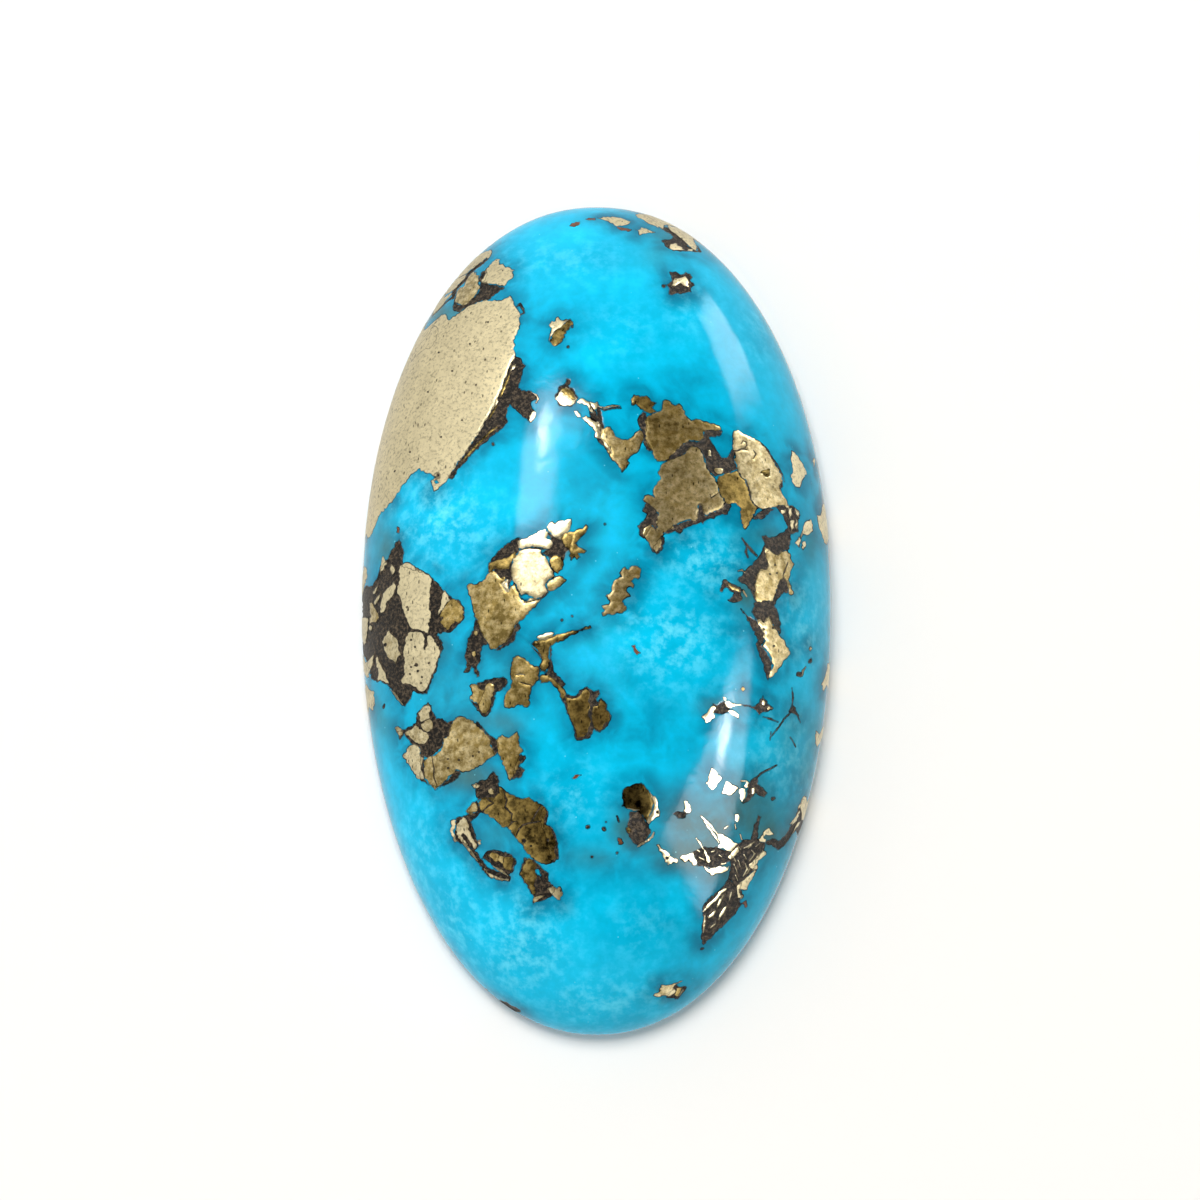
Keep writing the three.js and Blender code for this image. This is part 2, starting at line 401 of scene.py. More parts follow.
        (704, 866), (709, 870), (714, 868), (720, 866), (727, 868), (729, 866), (728, 870), (722, 873),
        (711, 875)]),
    "star_white": (1.1, [
        (718, 834), (721, 834), (727, 837), (736, 843), (738, 844), (734, 848), (732, 851), (729, 851),
        (725, 849), (718, 847), (721, 844), (719, 840)]),
    "star_strip": (0.9, [
        (728, 857), (731, 854), (735, 849), (738, 847), (739, 850), (736, 855), (730, 859)]),
    "star_gold_a": (0.95, [
        (750, 863), (754, 860), (759, 856), (761, 853), (764, 859), (757, 863), (755, 867), (755, 873),
        (752, 872)]),
    "star_gold_b": (0.95, [
        (740, 882), (745, 879), (750, 875), (753, 872), (754, 875), (750, 883), (747, 887), (745, 893),
        (740, 888), (740, 894), (741, 900), (739, 902), (738, 893), (738, 886)]),
    "star_arm": (1.05, [
        (759, 839), (763, 835), (765, 831), (768, 830), (769, 834), (772, 838), (769, 839), (765, 836),
        (763, 838), (765, 842), (764, 845), (762, 843)]),
    "star_arm_far": (1.0, [(791, 821), (795, 819), (798, 816), (797, 822), (795, 826), (792, 825)]),
    "star_edge": (0.95, [(797, 812), (800, 805), (806, 798), (820, 800), (816, 816), (802, 818)]),
    "low_lone": (0.85, [
        (653.5, 995.5), (655.5, 993.5), (659.5, 992), (661, 989), (664, 986), (665.5, 983), (667, 985),
        (670.5, 985.5), (676.5, 983.5), (678, 984), (673, 986), (669.5, 989.5), (669, 995), (666, 998),
        (661.5, 1000), (657.5, 997), (654.5, 998.5)]),
    "low_lone_side": (0.65, [
        (670.5, 992), (675, 992), (674, 996), (673.5, 999), (670.5, 999.5), (667.5, 998.5),
        (669, 995.5)]),
    "low_lone_end": (0.9, [(676.5, 993.5), (678.5, 993.5), (677, 996.5), (675, 998.5), (674, 998.5)]),
    "pink_inclusion": (0.3, [(760, 473), (764, 470), (770, 469), (770, 473), (768, 477), (764, 475)]),
    "chain_bronze": (0.45, [
        (561, 389), (566, 388), (571, 390), (574, 394), (576, 398), (575, 400), (570, 398),
        (565, 395)]),
    "gold_dot_high": (0.7, [(741, 689), (743, 687), (745, 689), (743, 691)]),
    "gold_dot_right": (0.8, [(809, 651), (810, 649), (812, 651), (810, 653)]),
    "star_bit": (1.0, [(735, 815), (738, 814), (739, 819), (737, 822), (735, 820)]),
}

# Dark host rock that holds the plates
MATRIX_PATCHES = {
    "low_lone": [
        (669, 989.5), (672.5, 986.5), (673, 991), (677, 990.5), (680.5, 991.5), (678, 998), (672, 1001),
        (660, 1001)],
    "right_crack": [(789, 711), (793, 706), (796, 711), (799, 714), (793, 713)],
    "upper_left": [
        (484, 270), (490, 266), (489, 273), (484, 281), (488, 284), (504, 288), (497, 293), (488, 300),
        (478, 302), (468, 306), (460, 310), (452, 308), (452, 303), (463, 303), (474, 298), (480, 290)],
    "great_notch": [
        (439, 319), (434, 325), (431, 330), (437, 334), (435, 338), (435, 342), (430, 350), (426, 353),
        (417, 352), (409, 360), (411, 355), (417, 348), (419, 343), (428, 335)],
    "ledge": [
        (514, 356), (519, 358), (525, 366), (522, 370), (520, 382), (518, 388), (522, 391), (531, 391),
        (537, 395), (538, 399), (531, 401), (530, 405), (533, 410), (536, 414), (534, 418), (530, 422),
        (525, 418), (514, 408), (510, 404), (507, 408), (506, 415), (508, 421), (503, 428), (489, 438),
        (473, 453), (458, 469), (452, 479), (448, 478), (456, 466), (473, 441), (489, 414), (499, 394),
        (507, 375), (511, 362)],
    "great_tip": [(434, 475), (437, 472), (440, 474), (440, 478), (436, 479)],
    "top_edge": [
        (660, 227), (671, 230), (676, 235), (683, 243), (690, 246), (698, 246), (697, 248), (688, 248),
        (681, 252), (675, 252), (669, 248), (661, 240), (665, 238), (668, 234)],
    "star_top": [
        (670, 272), (676, 272), (682, 275), (686, 272), (690, 274), (692, 277), (690, 280), (694, 285),
        (690, 288), (691, 292), (678, 293), (672, 295), (669, 294), (670, 289), (667, 285), (672, 281)],
    "chain_ring": [
        (555, 397), (560, 386), (564, 385), (567, 379), (570, 380), (568, 386), (572, 388), (578, 398),
        (576, 402), (572, 406), (560, 406)],
    "chain_grey": [(590, 413), (595, 413), (598, 420), (597, 422), (592, 418)],
    "foot_rim": [(597, 402), (599, 406), (604, 428), (600, 437), (606, 449), (598, 440)],
    "centre_strip": [
        (643, 412), (638, 420), (642, 431), (645, 445), (649, 451), (653, 451), (646, 440), (645, 434),
        (647, 428), (646, 413)],
    "centre_seam": [
        (668, 461), (670, 457), (675, 452), (679, 447), (688, 441), (699, 442), (703, 439), (704, 431),
        (710, 430), (722, 431), (719, 436), (709, 437), (713, 445), (719, 454), (722, 458), (727, 458),
        (733, 449), (735, 452), (733, 458), (738, 469), (728, 473), (715, 476), (709, 470), (702, 451),
        (694, 445), (685, 453), (675, 458)],
    "centre_notch": [
        (643, 500), (646, 503), (643, 511), (648, 514), (644, 521), (638, 526), (640, 530), (640, 535),
        (644, 538), (652, 525), (656, 531), (659, 514), (650, 504)],
    "centre_foot": [
        (664, 534), (675, 531), (680, 533), (683, 529), (697, 524), (701, 522), (703, 524), (705, 521),
        (720, 515), (727, 514), (731, 506), (726, 502), (719, 510), (705, 516), (702, 504), (698, 504),
        (698, 519), (684, 522), (674, 525)],
    "centre_low_rim": [
        (756, 516), (763, 511), (770, 508), (774, 509), (768, 514), (763, 518), (754, 519)],
    "centre_low_tip": [(661, 536), (664, 538), (663, 548), (657, 554), (652, 550)],
    "right_slips": [
        (776, 506), (785, 505), (793, 506), (800, 514), (797, 522), (798, 532), (791, 534), (788, 526),
        (784, 516)],
    "right_rim": [
        (762, 536), (766, 535), (770, 538), (776, 537), (783, 533), (789, 527), (791, 533), (789, 548),
        (782, 552), (778, 556), (769, 550), (766, 552), (769, 566), (767, 570), (760, 571), (756, 580),
        (756, 602), (753, 595), (748, 586), (738, 580), (746, 571), (757, 560), (763, 551), (765, 545)],
    "right_under": [
        (755, 602), (773, 601), (776, 594), (780, 580), (784, 577), (788, 583), (788, 593), (784, 592),
        (778, 598), (774, 605), (777, 612), (780, 622), (780, 633), (775, 629), (769, 617), (765, 622),
        (757, 620), (752, 612)],
    "right_left_rim": [
        (741, 609), (752, 619), (757, 621), (762, 630), (765, 634), (764, 641), (760, 645), (764, 650),
        (769, 657), (772, 664), (770, 672), (768, 680), (763, 662), (756, 644), (759, 640), (750, 624)],
    "right_arm": [
        (724, 580), (726, 580), (731, 584), (738, 587), (741, 590), (740, 594), (742, 600), (735, 602),
        (728, 600), (733, 597), (735, 593), (726, 587), (722, 592), (720, 591), (723, 584)],
    "cream_rim": [
        (496, 555), (500, 550), (506, 545), (514, 540), (520, 538), (519, 550), (513, 558), (511, 566),
        (503, 571), (495, 566), (489, 573), (489, 563)],
    "cream_gap": [
        (547, 532), (556, 538), (565, 533), (572, 536), (570, 548), (565, 553), (563, 560), (558, 555),
        (550, 558), (542, 553), (550, 548), (553, 543)],
    "olive_gap": [
        (494, 566), (503, 570), (512, 566), (512, 580), (508, 590), (506, 580), (500, 578), (494, 571)],
    "olive_foot": [
        (517, 621), (520, 628), (516, 632), (514, 641), (508, 645), (500, 650), (495, 650), (505, 643),
        (512, 632)],
    "stem": [
        (476, 619), (484, 637), (488, 644), (483, 645), (480, 652), (480, 660), (477, 666), (479, 676),
        (477, 677), (472, 665), (468, 672), (464, 672), (467, 667), (465, 655), (468, 641), (474, 628)],
    "left_host": [
        (399, 539), (403, 549), (404, 553), (402, 561), (402, 566), (430, 575), (434, 581), (441, 587),
        (447, 594), (452, 599), (458, 600), (464, 609), (464, 617), (457, 625), (450, 632), (436, 633),
        (441, 641), (443, 649), (437, 663), (436, 671), (431, 679), (427, 694), (420, 693), (413, 690),
        (411, 697), (405, 706), (394, 693), (389, 687), (377, 683), (372, 676), (366, 655), (352, 645),
        (350, 600), (366, 590), (378, 575), (389, 556), (393, 549)],
    "mid_left": [
        (477, 683), (490, 680), (503, 677), (507, 680), (506, 685), (502, 689), (495, 692), (494, 702),
        (491, 711), (486, 716), (482, 715), (475, 706), (470, 700), (479, 704), (485, 690), (479, 689)],
    "branch_stem": [
        (550, 643), (552, 650), (551, 660), (554, 673), (560, 678), (565, 684), (561, 687), (554, 680),
        (546, 674), (550, 665)],
    "cluster": [
        (562, 700), (566, 695), (575, 696), (582, 690), (587, 687), (594, 692), (599, 690), (600, 694),
        (596, 699), (598, 703), (601, 699), (607, 705), (606, 709), (611, 716), (608, 723), (604, 729),
        (600, 732), (594, 729), (590, 737), (577, 740), (575, 736), (574, 726), (567, 711)],
    "low_left": [
        (431, 706), (436, 719), (442, 719), (447, 723), (453, 721), (449, 736), (443, 738), (443, 745),
        (433, 756), (427, 758), (421, 754), (420, 748), (412, 744), (404, 734), (400, 741), (397, 733),
        (405, 730), (416, 724), (417, 714), (425, 706)],
    "low_left_gap": [(420, 748), (424, 757), (424, 779), (429, 785), (420, 780), (421, 766)],
    "gold_foot": [(447, 781), (456, 770), (460, 771), (460, 774), (455, 780), (446, 784), (436, 790)],
    "gold_seam": [
        (477, 722), (490, 736), (496, 740), (499, 745), (498, 752), (495, 755), (490, 744), (490, 739)],
    "gold_right_rim": [
        (519, 755), (525, 756), (524, 760), (518, 767), (525, 770), (521, 777), (512, 779)],
    "ring_top": [
        (476, 783), (487, 780), (493, 772), (498, 776), (498, 786), (500, 793), (494, 799), (480, 799),
        (474, 803), (466, 812), (480, 810), (476, 790)],
    "ring_left_gap": [
        (456, 819), (464, 816), (476, 812), (480, 812), (470, 822), (479, 846), (474, 850), (455, 840)],
    "ring_tail": [
        (474, 850), (480, 858), (488, 868), (500, 872), (510, 877), (509, 881), (490, 877), (484, 871),
        (466, 846)],
    "ring_shelf": [
        (486, 853), (494, 850), (512, 855), (516, 861), (512, 872), (505, 876), (494, 866), (483, 858)],
    "ring_right_rim": [
        (544, 806), (548, 812), (545, 824), (553, 829), (558, 843), (558, 859), (552, 862), (540, 818)],
    "hang": [
        (524, 858), (534, 860), (541, 867), (548, 873), (548, 879), (551, 884), (556, 888), (550, 897),
        (537, 902), (533, 904), (533, 895), (520, 875)],
    "shield_low": [
        (630, 812), (640, 812), (644, 819), (648, 826), (651, 833), (644, 843), (638, 846), (629, 837),
        (627, 830)],
    "bit_gap": [(713, 704), (717, 706), (724, 701), (730, 708), (728, 712), (720, 714), (713, 713)],
    "bit_star": [
        (763, 696), (765, 700), (769, 705), (773, 708), (768, 711), (763, 712), (759, 715), (756, 710),
        (753, 707), (758, 704)],
    "white_gap": [
        (748, 784), (753, 779), (757, 777), (757, 784), (764, 790), (767, 793), (764, 797), (756, 793),
        (748, 801), (743, 803), (747, 796)],
    "brown_lens": [(674, 814), (678, 812), (684, 812), (687, 814), (683, 818), (678, 818)],
    "star_band": [
        (693, 852), (703, 847), (718, 848), (731, 852), (731, 860), (724, 865), (712, 868), (698, 866)],
    "star_core": [
        (731, 850), (738, 844), (746, 840), (757, 838), (764, 845), (762, 853), (755, 861), (753, 872),
        (745, 879), (738, 884), (729, 878), (731, 866)],
    "star_wedge": [(758, 815), (761, 817), (758, 826), (757, 838), (750, 843), (753, 832)],
    "star_arm": [
        (764, 846), (776, 840), (790, 828), (797, 815), (801, 805), (816, 800), (806, 816), (798, 833),
        (785, 842), (768, 849)],
    "leaf": [
        (742, 881), (738, 883), (729, 879), (722, 888), (710, 898), (703, 907), (704, 928), (706, 942),
        (718, 930), (731, 919), (738, 909), (740, 898)],
    "bottom_edge": [(493, 994), (503, 1000), (514, 1006), (513, 1010), (500, 1003)],
}

# Thin runs of pyrite: tone, width in pixels, then their lines
PYRITE_SLIVERS = {
    "ledge": (0.45, 2.2, [
        [(510, 373), (507, 381), (503, 390), (500, 397)], [(497, 405), (493, 412), (489, 419)],
        [(497, 427), (490, 432), (482, 440), (475, 447), (469, 454), (462, 461)]]),
    "ledge_crescent": (1.0, 1.3, [[(531, 392), (536, 395), (538, 399), (536, 403)]]),
    "chain_tail": (0.9, 1.6, [[(598, 406), (604, 408), (612, 406), (620, 406)]]),
    "foot_facet": (1.15, 2.4, [[(603, 440), (607, 446), (612, 453)]]),
    "right_curls": (0.9, 1.6, [
        [(738, 571), (742, 570), (745, 573)], [(743, 590), (745, 594), (747, 597)]]),
    "left_line": (1.0, 2.0, [[(390, 690), (394, 693), (398, 699), (403, 705)]]),
    "ring_run": (0.9, 2.6, [
        [(463, 843), (468, 848), (473, 855), (478, 861)], [(493, 866), (500, 870), (508, 876)]]),
    "shield_lip": (1.05, 2.0, [
        [(627, 808), (634, 810), (640, 810)],
        [(654, 832), (652, 837), (647, 841), (641, 844), (637, 847)]]),
    "right_low_tick": (0.9, 1.8, [[(802, 675), (803, 670), (806, 667)], [(741, 781), (747, 781)]]),
    "star_rays": (1.1, 1.7, [
        [(704, 821), (710, 829), (716, 838), (719, 843)],
        [(701, 816), (706, 821), (712, 827), (718, 835)], [(696, 838), (700, 843), (703, 849)],
        [(724, 829), (728, 826)], [(735, 824), (736, 829)], [(740, 834), (742, 840)],
        [(744, 848), (750, 845), (755, 841)], [(752, 849), (755, 853), (750, 860)],
        [(746, 862), (748, 868), (744, 875)], [(734, 864), (738, 872)],
        [(800, 823), (796, 830), (791, 838)]]),
    "leaf_rays": (1.1, 2.6, [
        [(703, 912), (709, 905), (716, 899), (721, 892), (727, 888)],
        [(705, 915), (705, 922), (706, 930)], [(724, 894), (721, 900), (718, 906)],
        [(709, 917), (714, 913), (717, 909)], [(733, 890), (731, 898)],
        [(728, 904), (724, 911), (721, 917)], [(713, 925), (718, 921)]]),
    "ring_dashes": (1.2, 1.6, [[(516, 675), (521, 674), (525, 675)], [(582, 733), (586, 733)]]),
    "core_bits": (1.0, 2.2, [
        [(738, 846), (741, 850)], [(744, 854), (747, 858)], [(738, 860), (741, 866)],
        [(736, 874), (739, 879)], [(733, 856), (736, 862)], [(748, 848), (752, 845)],
        [(756, 846), (760, 843)], [(750, 868), (747, 873)], [(697, 850), (700, 852)],
        [(711, 852), (715, 851)], [(719, 855), (722, 857)], [(721, 864), (726, 863)],
        [(699, 857), (704, 860)]]),
}

# Dark lines through and beside the plates: width in pixels, then their lines
MATRIX_LINES = {
    "upper_left": (2.4, [
        [(487, 260), (473, 271), (464, 279), (461, 285), (452, 294), (449, 303), (437, 309)]]),
    "great_side": (1.8, [[(516, 307), (520, 304), (523, 309), (524, 313), (520, 315)]]),
    "chain": (1.6, [
        [(597, 407), (604, 410), (612, 408), (621, 408)], [(589, 402), (594, 411), (600, 424)]]),
    "centre_right": (1.1, [
        [(733, 450), (737, 451), (741, 449), (747, 450)], [(753, 450), (756, 454), (753, 459)],
        [(737, 470), (741, 477), (746, 481), (749, 489), (751, 500), (758, 508)]]),
    "centre_great": (1.2, [[(710, 494), (711, 498), (714, 496), (718, 493)]]),
    "right_branch": (2.6, [
        [(742, 538), (746, 544), (752, 551), (757, 556)], [(747, 545), (746, 552), (748, 558)]]),
    "right_plate": (1.4, [[(788, 562), (785, 570), (783, 576)]]),
    "cream": (1.4, [
        [(519, 550), (530, 548), (541, 549), (549, 549)],
        [(545, 585), (548, 592), (540, 599), (524, 603)]]),
    "left_crack": (1.8, [[(426, 634), (425, 642), (425, 650)]]),
    "mid_right": (1.2, [[(520, 682), (526, 684), (531, 685)]]),
    "branch": (1.8, [[(532, 647), (539, 654), (543, 661)]]),
    "gold": (1.0, [[(432, 757), (434, 768), (434, 778), (437, 786)], [(431, 785), (438, 787)]]),
    "ring": (1.7, [
        [(486, 798), (490, 801), (494, 803)],
        [(516, 836), (519, 829), (523, 825), (530, 823), (541, 821)],
        [(509, 826), (512, 822), (517, 821)],
        [(503, 790), (507, 800), (505, 807), (512, 814), (511, 822)],
        [(541, 805), (537, 812), (531, 822)], [(482, 812), (488, 806), (494, 803)]]),
    "pink": (1.0, [
        [(741, 444), (743, 441), (746, 442), (747, 445), (745, 448), (742, 448)],
        [(762, 444), (768, 450.5), (772, 458), (777, 464.5), (782, 474), (784.5, 482)]]),
    "pink_notch": (3.4, [[(782, 482), (781, 486), (780, 489)]]),
    "right_cracks": (0.9, [
        [(792, 688), (793, 698), (792, 707)], [(790, 713), (784, 719), (779, 727)],
        [(797, 714), (801, 720)], [(763, 717), (771, 719), (778, 722)],
        [(779, 727), (774, 733), (770, 738)]]),
    "bits": (1.2, [
        [(742, 705), (749, 706), (754, 708)], [(771, 732), (770, 740)], [(790, 738), (796, 745)],
        [(757, 777), (762, 773), (768, 770), (777, 765)]]),
    "shield": (1.6, [[(617, 816), (619, 822)], [(629, 825), (634, 832)]]),
}

# Polishing pits in the plates and specks in the blue: place and radius in pixels
DARK_SPECKS = [
    (493, 444, 1.6), (438, 475, 1.6), (436, 482, 1.6), (407, 607, 1.0), (408, 610, 1.0),
    (411, 640, 1.2), (415, 647, 1.1), (416, 665, 2.0), (418, 671, 1.2), (411, 667, 1.0),
    (410, 674, 1.0), (429, 663, 1.2), (422, 677, 1.0), (421, 683, 1.0), (385, 643, 1.8),
    (442, 618, 1.2), (448, 759, 1.0), (448, 768, 1.1), (459, 760, 1.2), (473, 756, 1.0),
    (479, 752, 1.0), (524, 841, 2.4), (548, 840, 1.6), (531, 846, 1.1), (764, 629, 1.2),
    (773, 628, 1.1), (774, 646, 1.2), (775, 565, 1.0), (770, 574, 1.0), (777, 573, 1.0),
    (667, 858, 1.7), (657, 812, 1.5), (605, 524, 1.0), (572, 616, 1.0), (562, 620, 1.0),
    (572, 327, 1.1), (568, 347, 1.1), (664, 286, 2.0), (604, 829, 2.0), (606, 822, 1.0),
    (617, 853, 1.2), (588, 827, 1.8), (592, 857, 1.7), (810, 663, 2.2), (799, 674, 2.6),
    (793, 709, 2.4), (773, 799, 1.8), (384, 707, 1.4), (704, 947, 1.2), (755, 518, 1.2),
    (439, 352, 1.0), (452, 371, 0.9), (470, 344, 0.9), (428, 392, 0.9), (462, 420, 0.9),
    (441, 437, 0.9), (410, 452, 0.9), (488, 322, 0.9), (476, 385, 0.9), (395, 470, 0.9),
]

# Rusty limonite bits: outline in pixels
LIMONITE_BITS = {
    "top_a": [(569, 226), (573, 223), (581, 221), (577, 225), (572, 227)],
    "top_b": [(588, 219), (592, 218), (597, 218), (595, 220), (590, 220)],
    "top_c": [(613, 226), (617, 227), (628, 229), (626, 231), (617, 229)],
    "middle": [(572, 778), (575, 775), (581, 775), (577, 778), (574, 779)],
    "curl": [(632, 646), (635, 645), (637, 650), (640, 653), (637, 655), (634, 651)],
    "shield": [(618, 838), (621, 839), (623, 843), (619, 844)],
    "leaf": [(739, 908), (742, 907), (744, 911), (741, 913)],
    "bottom": [(479, 983), (482, 985), (481, 987)],
    "left": [(397, 527), (399, 528), (399, 533), (397, 532)],
}

# Blue seen through the plates: outline in pixels
BLUE_WINDOWS = {
    "hang": [(535, 870), (538, 869), (542, 875), (541, 878), (537, 875)],
    "cream": [(517, 588), (521, 595), (526, 594), (531, 597), (526, 602), (521, 600)],
    "great_tail": [(434, 481), (437, 480), (439, 483), (436, 484)],
}

# Plates that run through the stone and also show, mirrored, on its back
THROUGH_PLATES = (
    "centre_great", "left_great", "gold_great", "ring_great", "right_plate_low", "olive", "cluster_left")

# Soft patches: place, half width, half height in pixels, and strength
PALE_CLOUDS = [
    (445, 522, 50, 42, 1.0), (705, 560, 38, 30, 1.0), (672, 640, 52, 44, 1.0), (520, 945, 55, 60, 0.9),
    (455, 920, 40, 60, 0.7), (420, 860, 26, 60, 0.6), (575, 795, 34, 34, 0.5), (785, 755, 36, 44, 0.8),
    (803, 620, 26, 50, 0.7), (600, 1000, 70, 28, 0.7), (560, 260, 70, 24, 0.35),
    (690, 310, 34, 34, 0.3), (620, 330, 40, 30, 0.25), (640, 930, 40, 40, 0.3), (760, 330, 26, 40, 0.4),
    (425, 480, 24, 20, 0.5),
]
DEEP_PATCHES = [
    (650, 738, 80, 26, 0.7), (565, 590, 36, 60, 0.5), (600, 490, 60, 36, 0.5), (540, 345, 26, 60, 0.6),
    (500, 700, 60, 40, 0.7), (600, 865, 80, 30, 0.6), (680, 715, 60, 26, 0.6), (440, 690, 40, 40, 0.7),
    (742, 630, 26, 60, 0.7), (470, 445, 40, 34, 0.4), (470, 320, 50, 20, 0.5), (690, 380, 60, 24, 0.5),
    (755, 545, 40, 30, 0.7), (620, 700, 30, 40, 0.5), (560, 760, 36, 50, 0.4), (680, 900, 60, 40, 0.4),
    (400, 545, 30, 30, 0.6), (700, 250, 50, 24, 0.5), (780, 470, 30, 60, 0.4), (800, 800, 30, 60, 0.7),
]
SMOKE_VEILS = [
    (706, 822, 50, 34, 1.0), (692, 850, 46, 22, 1.0), (742, 812, 20, 34, 0.9), (600, 858, 30, 10, 0.2),
    (634, 836, 20, 22, 0.6), (722, 872, 26, 18, 0.8), (770, 836, 22, 12, 0.8), (500, 722, 28, 12, 0.6),
    (470, 776, 30, 14, 0.7), (450, 313, 36, 8, 0.8), (720, 706, 26, 10, 0.6), (748, 600, 12, 20, 0.6),
    (384, 548, 12, 18, 0.7), (560, 548, 14, 10, 0.6),
]
TEAL_VEILS = [
    (765, 815, 34, 50, 0.9), (800, 742, 26, 44, 0.6), (690, 845, 44, 26, 0.6), (500, 665, 40, 30, 0.35),
    (450, 690, 32, 28, 0.6), (440, 650, 18, 30, 0.6), (500, 725, 26, 18, 0.5), (385, 545, 16, 24, 0.9),
    (382, 720, 14, 34, 0.6), (468, 778, 24, 14, 0.7), (585, 856, 30, 16, 0.6), (450, 313, 34, 9, 0.9),
    (672, 236, 30, 12, 0.6), (746, 596, 14, 26, 0.8), (620, 826, 16, 22, 0.8), (560, 548, 18, 14, 0.8),
    (762, 536, 28, 14, 0.7), (494, 838, 24, 22, 0.4), (810, 545, 16, 34, 0.6), (655, 255, 20, 16, 0.4),
]

# Soft patches over the dome, by the mesh field that holds them, and how fast they fade outwards
SOFT_FIELDS = {"cloud": PALE_CLOUDS, "deep": DEEP_PATCHES, "smoke": SMOKE_VEILS, "veil": TEAL_VEILS}
PATCH_FALL = 1.2

# Every field's even value over the flat back
BACK_FIELDS = {"edge_mm": 1.0, "near_mm": 1.0, "cloud": 0.3, "deep": 0.3, "smoke": 0.0, "veil": 0.2}

# Where markings run on past the outline they end unevenly, by waves round the stone (count, phase, share),
# and each draws in to a rounded end, no further on than its own half width allows
PAST_SHARE = 0.62
PAST_WAVES = ((13, 1.1, 0.18), (31, 0.4, 0.12), (71, 2.3, 0.08), (113, 0.9, 0.05))
PAST_ROUNDING = 0.9
PAST_NARROWING = 0.8
PAST_REACH = 1.5
PAST_TURN = 0.12

# On the steep flank markings sway along the edge instead of running straight down, in millimetres.
# The drift is how far the waves are out of step round the stone, in radians per radian.
SWAY = 0.24
SWAY_BAND = 4.2
SWAY_RAMP = 1.6
SWAY_LENGTH = 2.3
SWAY_DRIFT = 9.0

# Uneven outlines, in pixels
SEED = 7
FRAY_STEP = 2.2
FRAY = 0.85
LINE_FRAY = FRAY / 3
SLIVER_FRAY = FRAY / 2
STROKE_END_SHARE = 0.35
SPECK_SIDES = 7
SPECK_REACH = (0.7, 1.2)

# Mesh spacing in millimetres by distance from the nearest outline: reach, spacing
SPACINGS = ((0.13, 0.065), (0.5, 0.13), (99.0, 0.3))
FILL_GAP_SHARE = 0.55
FILL_END_GAP = 0.1
BEVEL_END_GAP = 0.12
GIRDLE_GAP = 0.05
GIRDLE_TOLERANCE = 0.001
OUTLINE_STEP = 0.025
LARGE_OUTLINE_STEP = 0.05
MERGE_DISTANCE = 1e-5
RING_COUNT = 720
BOX_STEPS = 361

# Width of the slope at the edge of the relief, and of the deep halo round the plates, in millimetres
RELIEF_SLOPE = 0.07
HALO_WIDTH = 1.3

# The flat back: size of its plates against those of the face, then mesh spacing in millimetres
BACK_PLATE_SHARE = 0.9
BACK_OUTLINE_STEP = 0.4
BACK_SPACING = 0.5

# Lights, in millimetres: middle, size, brightness against the group's, shares of the size that fade,
# the lit stretch at the far end, facing and group
WHOLE = (0.0, 1.0)
SOFTBOXES = {
    "key": ((-50, 115, 460), (300, 300), 1.0, (0.3, 0.3), WHOLE, "DOWN", "key"),
    "overhead_panel": ((-104, 184, 320), (94, 172), 1.3, (0.12, 0.16), (0.2, 1.0), "DOWN", "overhead"),
    "overhead_core": ((-92, 193, 318), (30, 78), 9.0, (0.5, 0.5), WHOLE, "DOWN", "overhead"),
    "overhead_wing": ((-46, 206, 322), (96, 96), 0.7, (0.4, 0.4), WHOLE, "DOWN", "overhead"),
    "right_strip": ((320, 345, 90), (180, 280), 1.3, (0.12, 0.3), WHOLE, "LEFT", "side"),
    "right_link": ((322, 110, 80), (150, 190), 0.1, (0.4, 0.4), WHOLE, "LEFT", "side"),
    "right_panel": ((320, -90, 395), (610, 320), 1.6, (0.05, 0.16), (0.75, 0.87), "LEFT", "side"),
    "right_core": ((318, -19, 270), (80, 92), 8.5, (0.5, 0.5), WHOLE, "LEFT", "side"),
}
FLOOR_SIDE = 3000.0

# Power of an area light for each unit of brightness over each unit of its face
POWER_OF_BRIGHTNESS = 4.0

# Colour of the surroundings by height, which counts for less on the left: a pale wall, and a dim ceiling
SKY_LEAN = (0.45, 0.0, 1.0)
SKY_STOPS = (
    (0.28, "#E2E0DA"), (0.42, "#F6F4EF"), (0.65, "#FAF8F2"), (0.72, "#E6E3DA"), (0.83, "#B9B5A8"),
    (0.87, "#878275"), (0.93, "#6C6144"), (1.0, "#766A4C"))


def linear(code):
    """The linear colour of an sRGB hex code."""
    channels = [int(code[i:i + 2], 16) / 255 for i in (1, 3, 5)]
    return [c / 12.92 if c <= 0.04045 else ((c + 0.055) / 1.055) ** 2.4 for c in channels]


def colour(name, description, code):
    """A colour property whose default is a hex code."""
    return bpy.props.FloatVectorProperty(
        name=name, description=description, default=linear(code), size=3, min=0, max=1, subtype="COLOR")


def length(name, description, size_mm):
    """A length property whose default is in millimetres."""
    return bpy.props.FloatProperty(
        name=name, description=description, default=size_mm * MM, min=0, precision=6, unit="LENGTH")


def brightness(name, description, default):
    """A property for the strength of a light."""
    return bpy.props.FloatProperty(name=name, description=description, default=default, min=0)


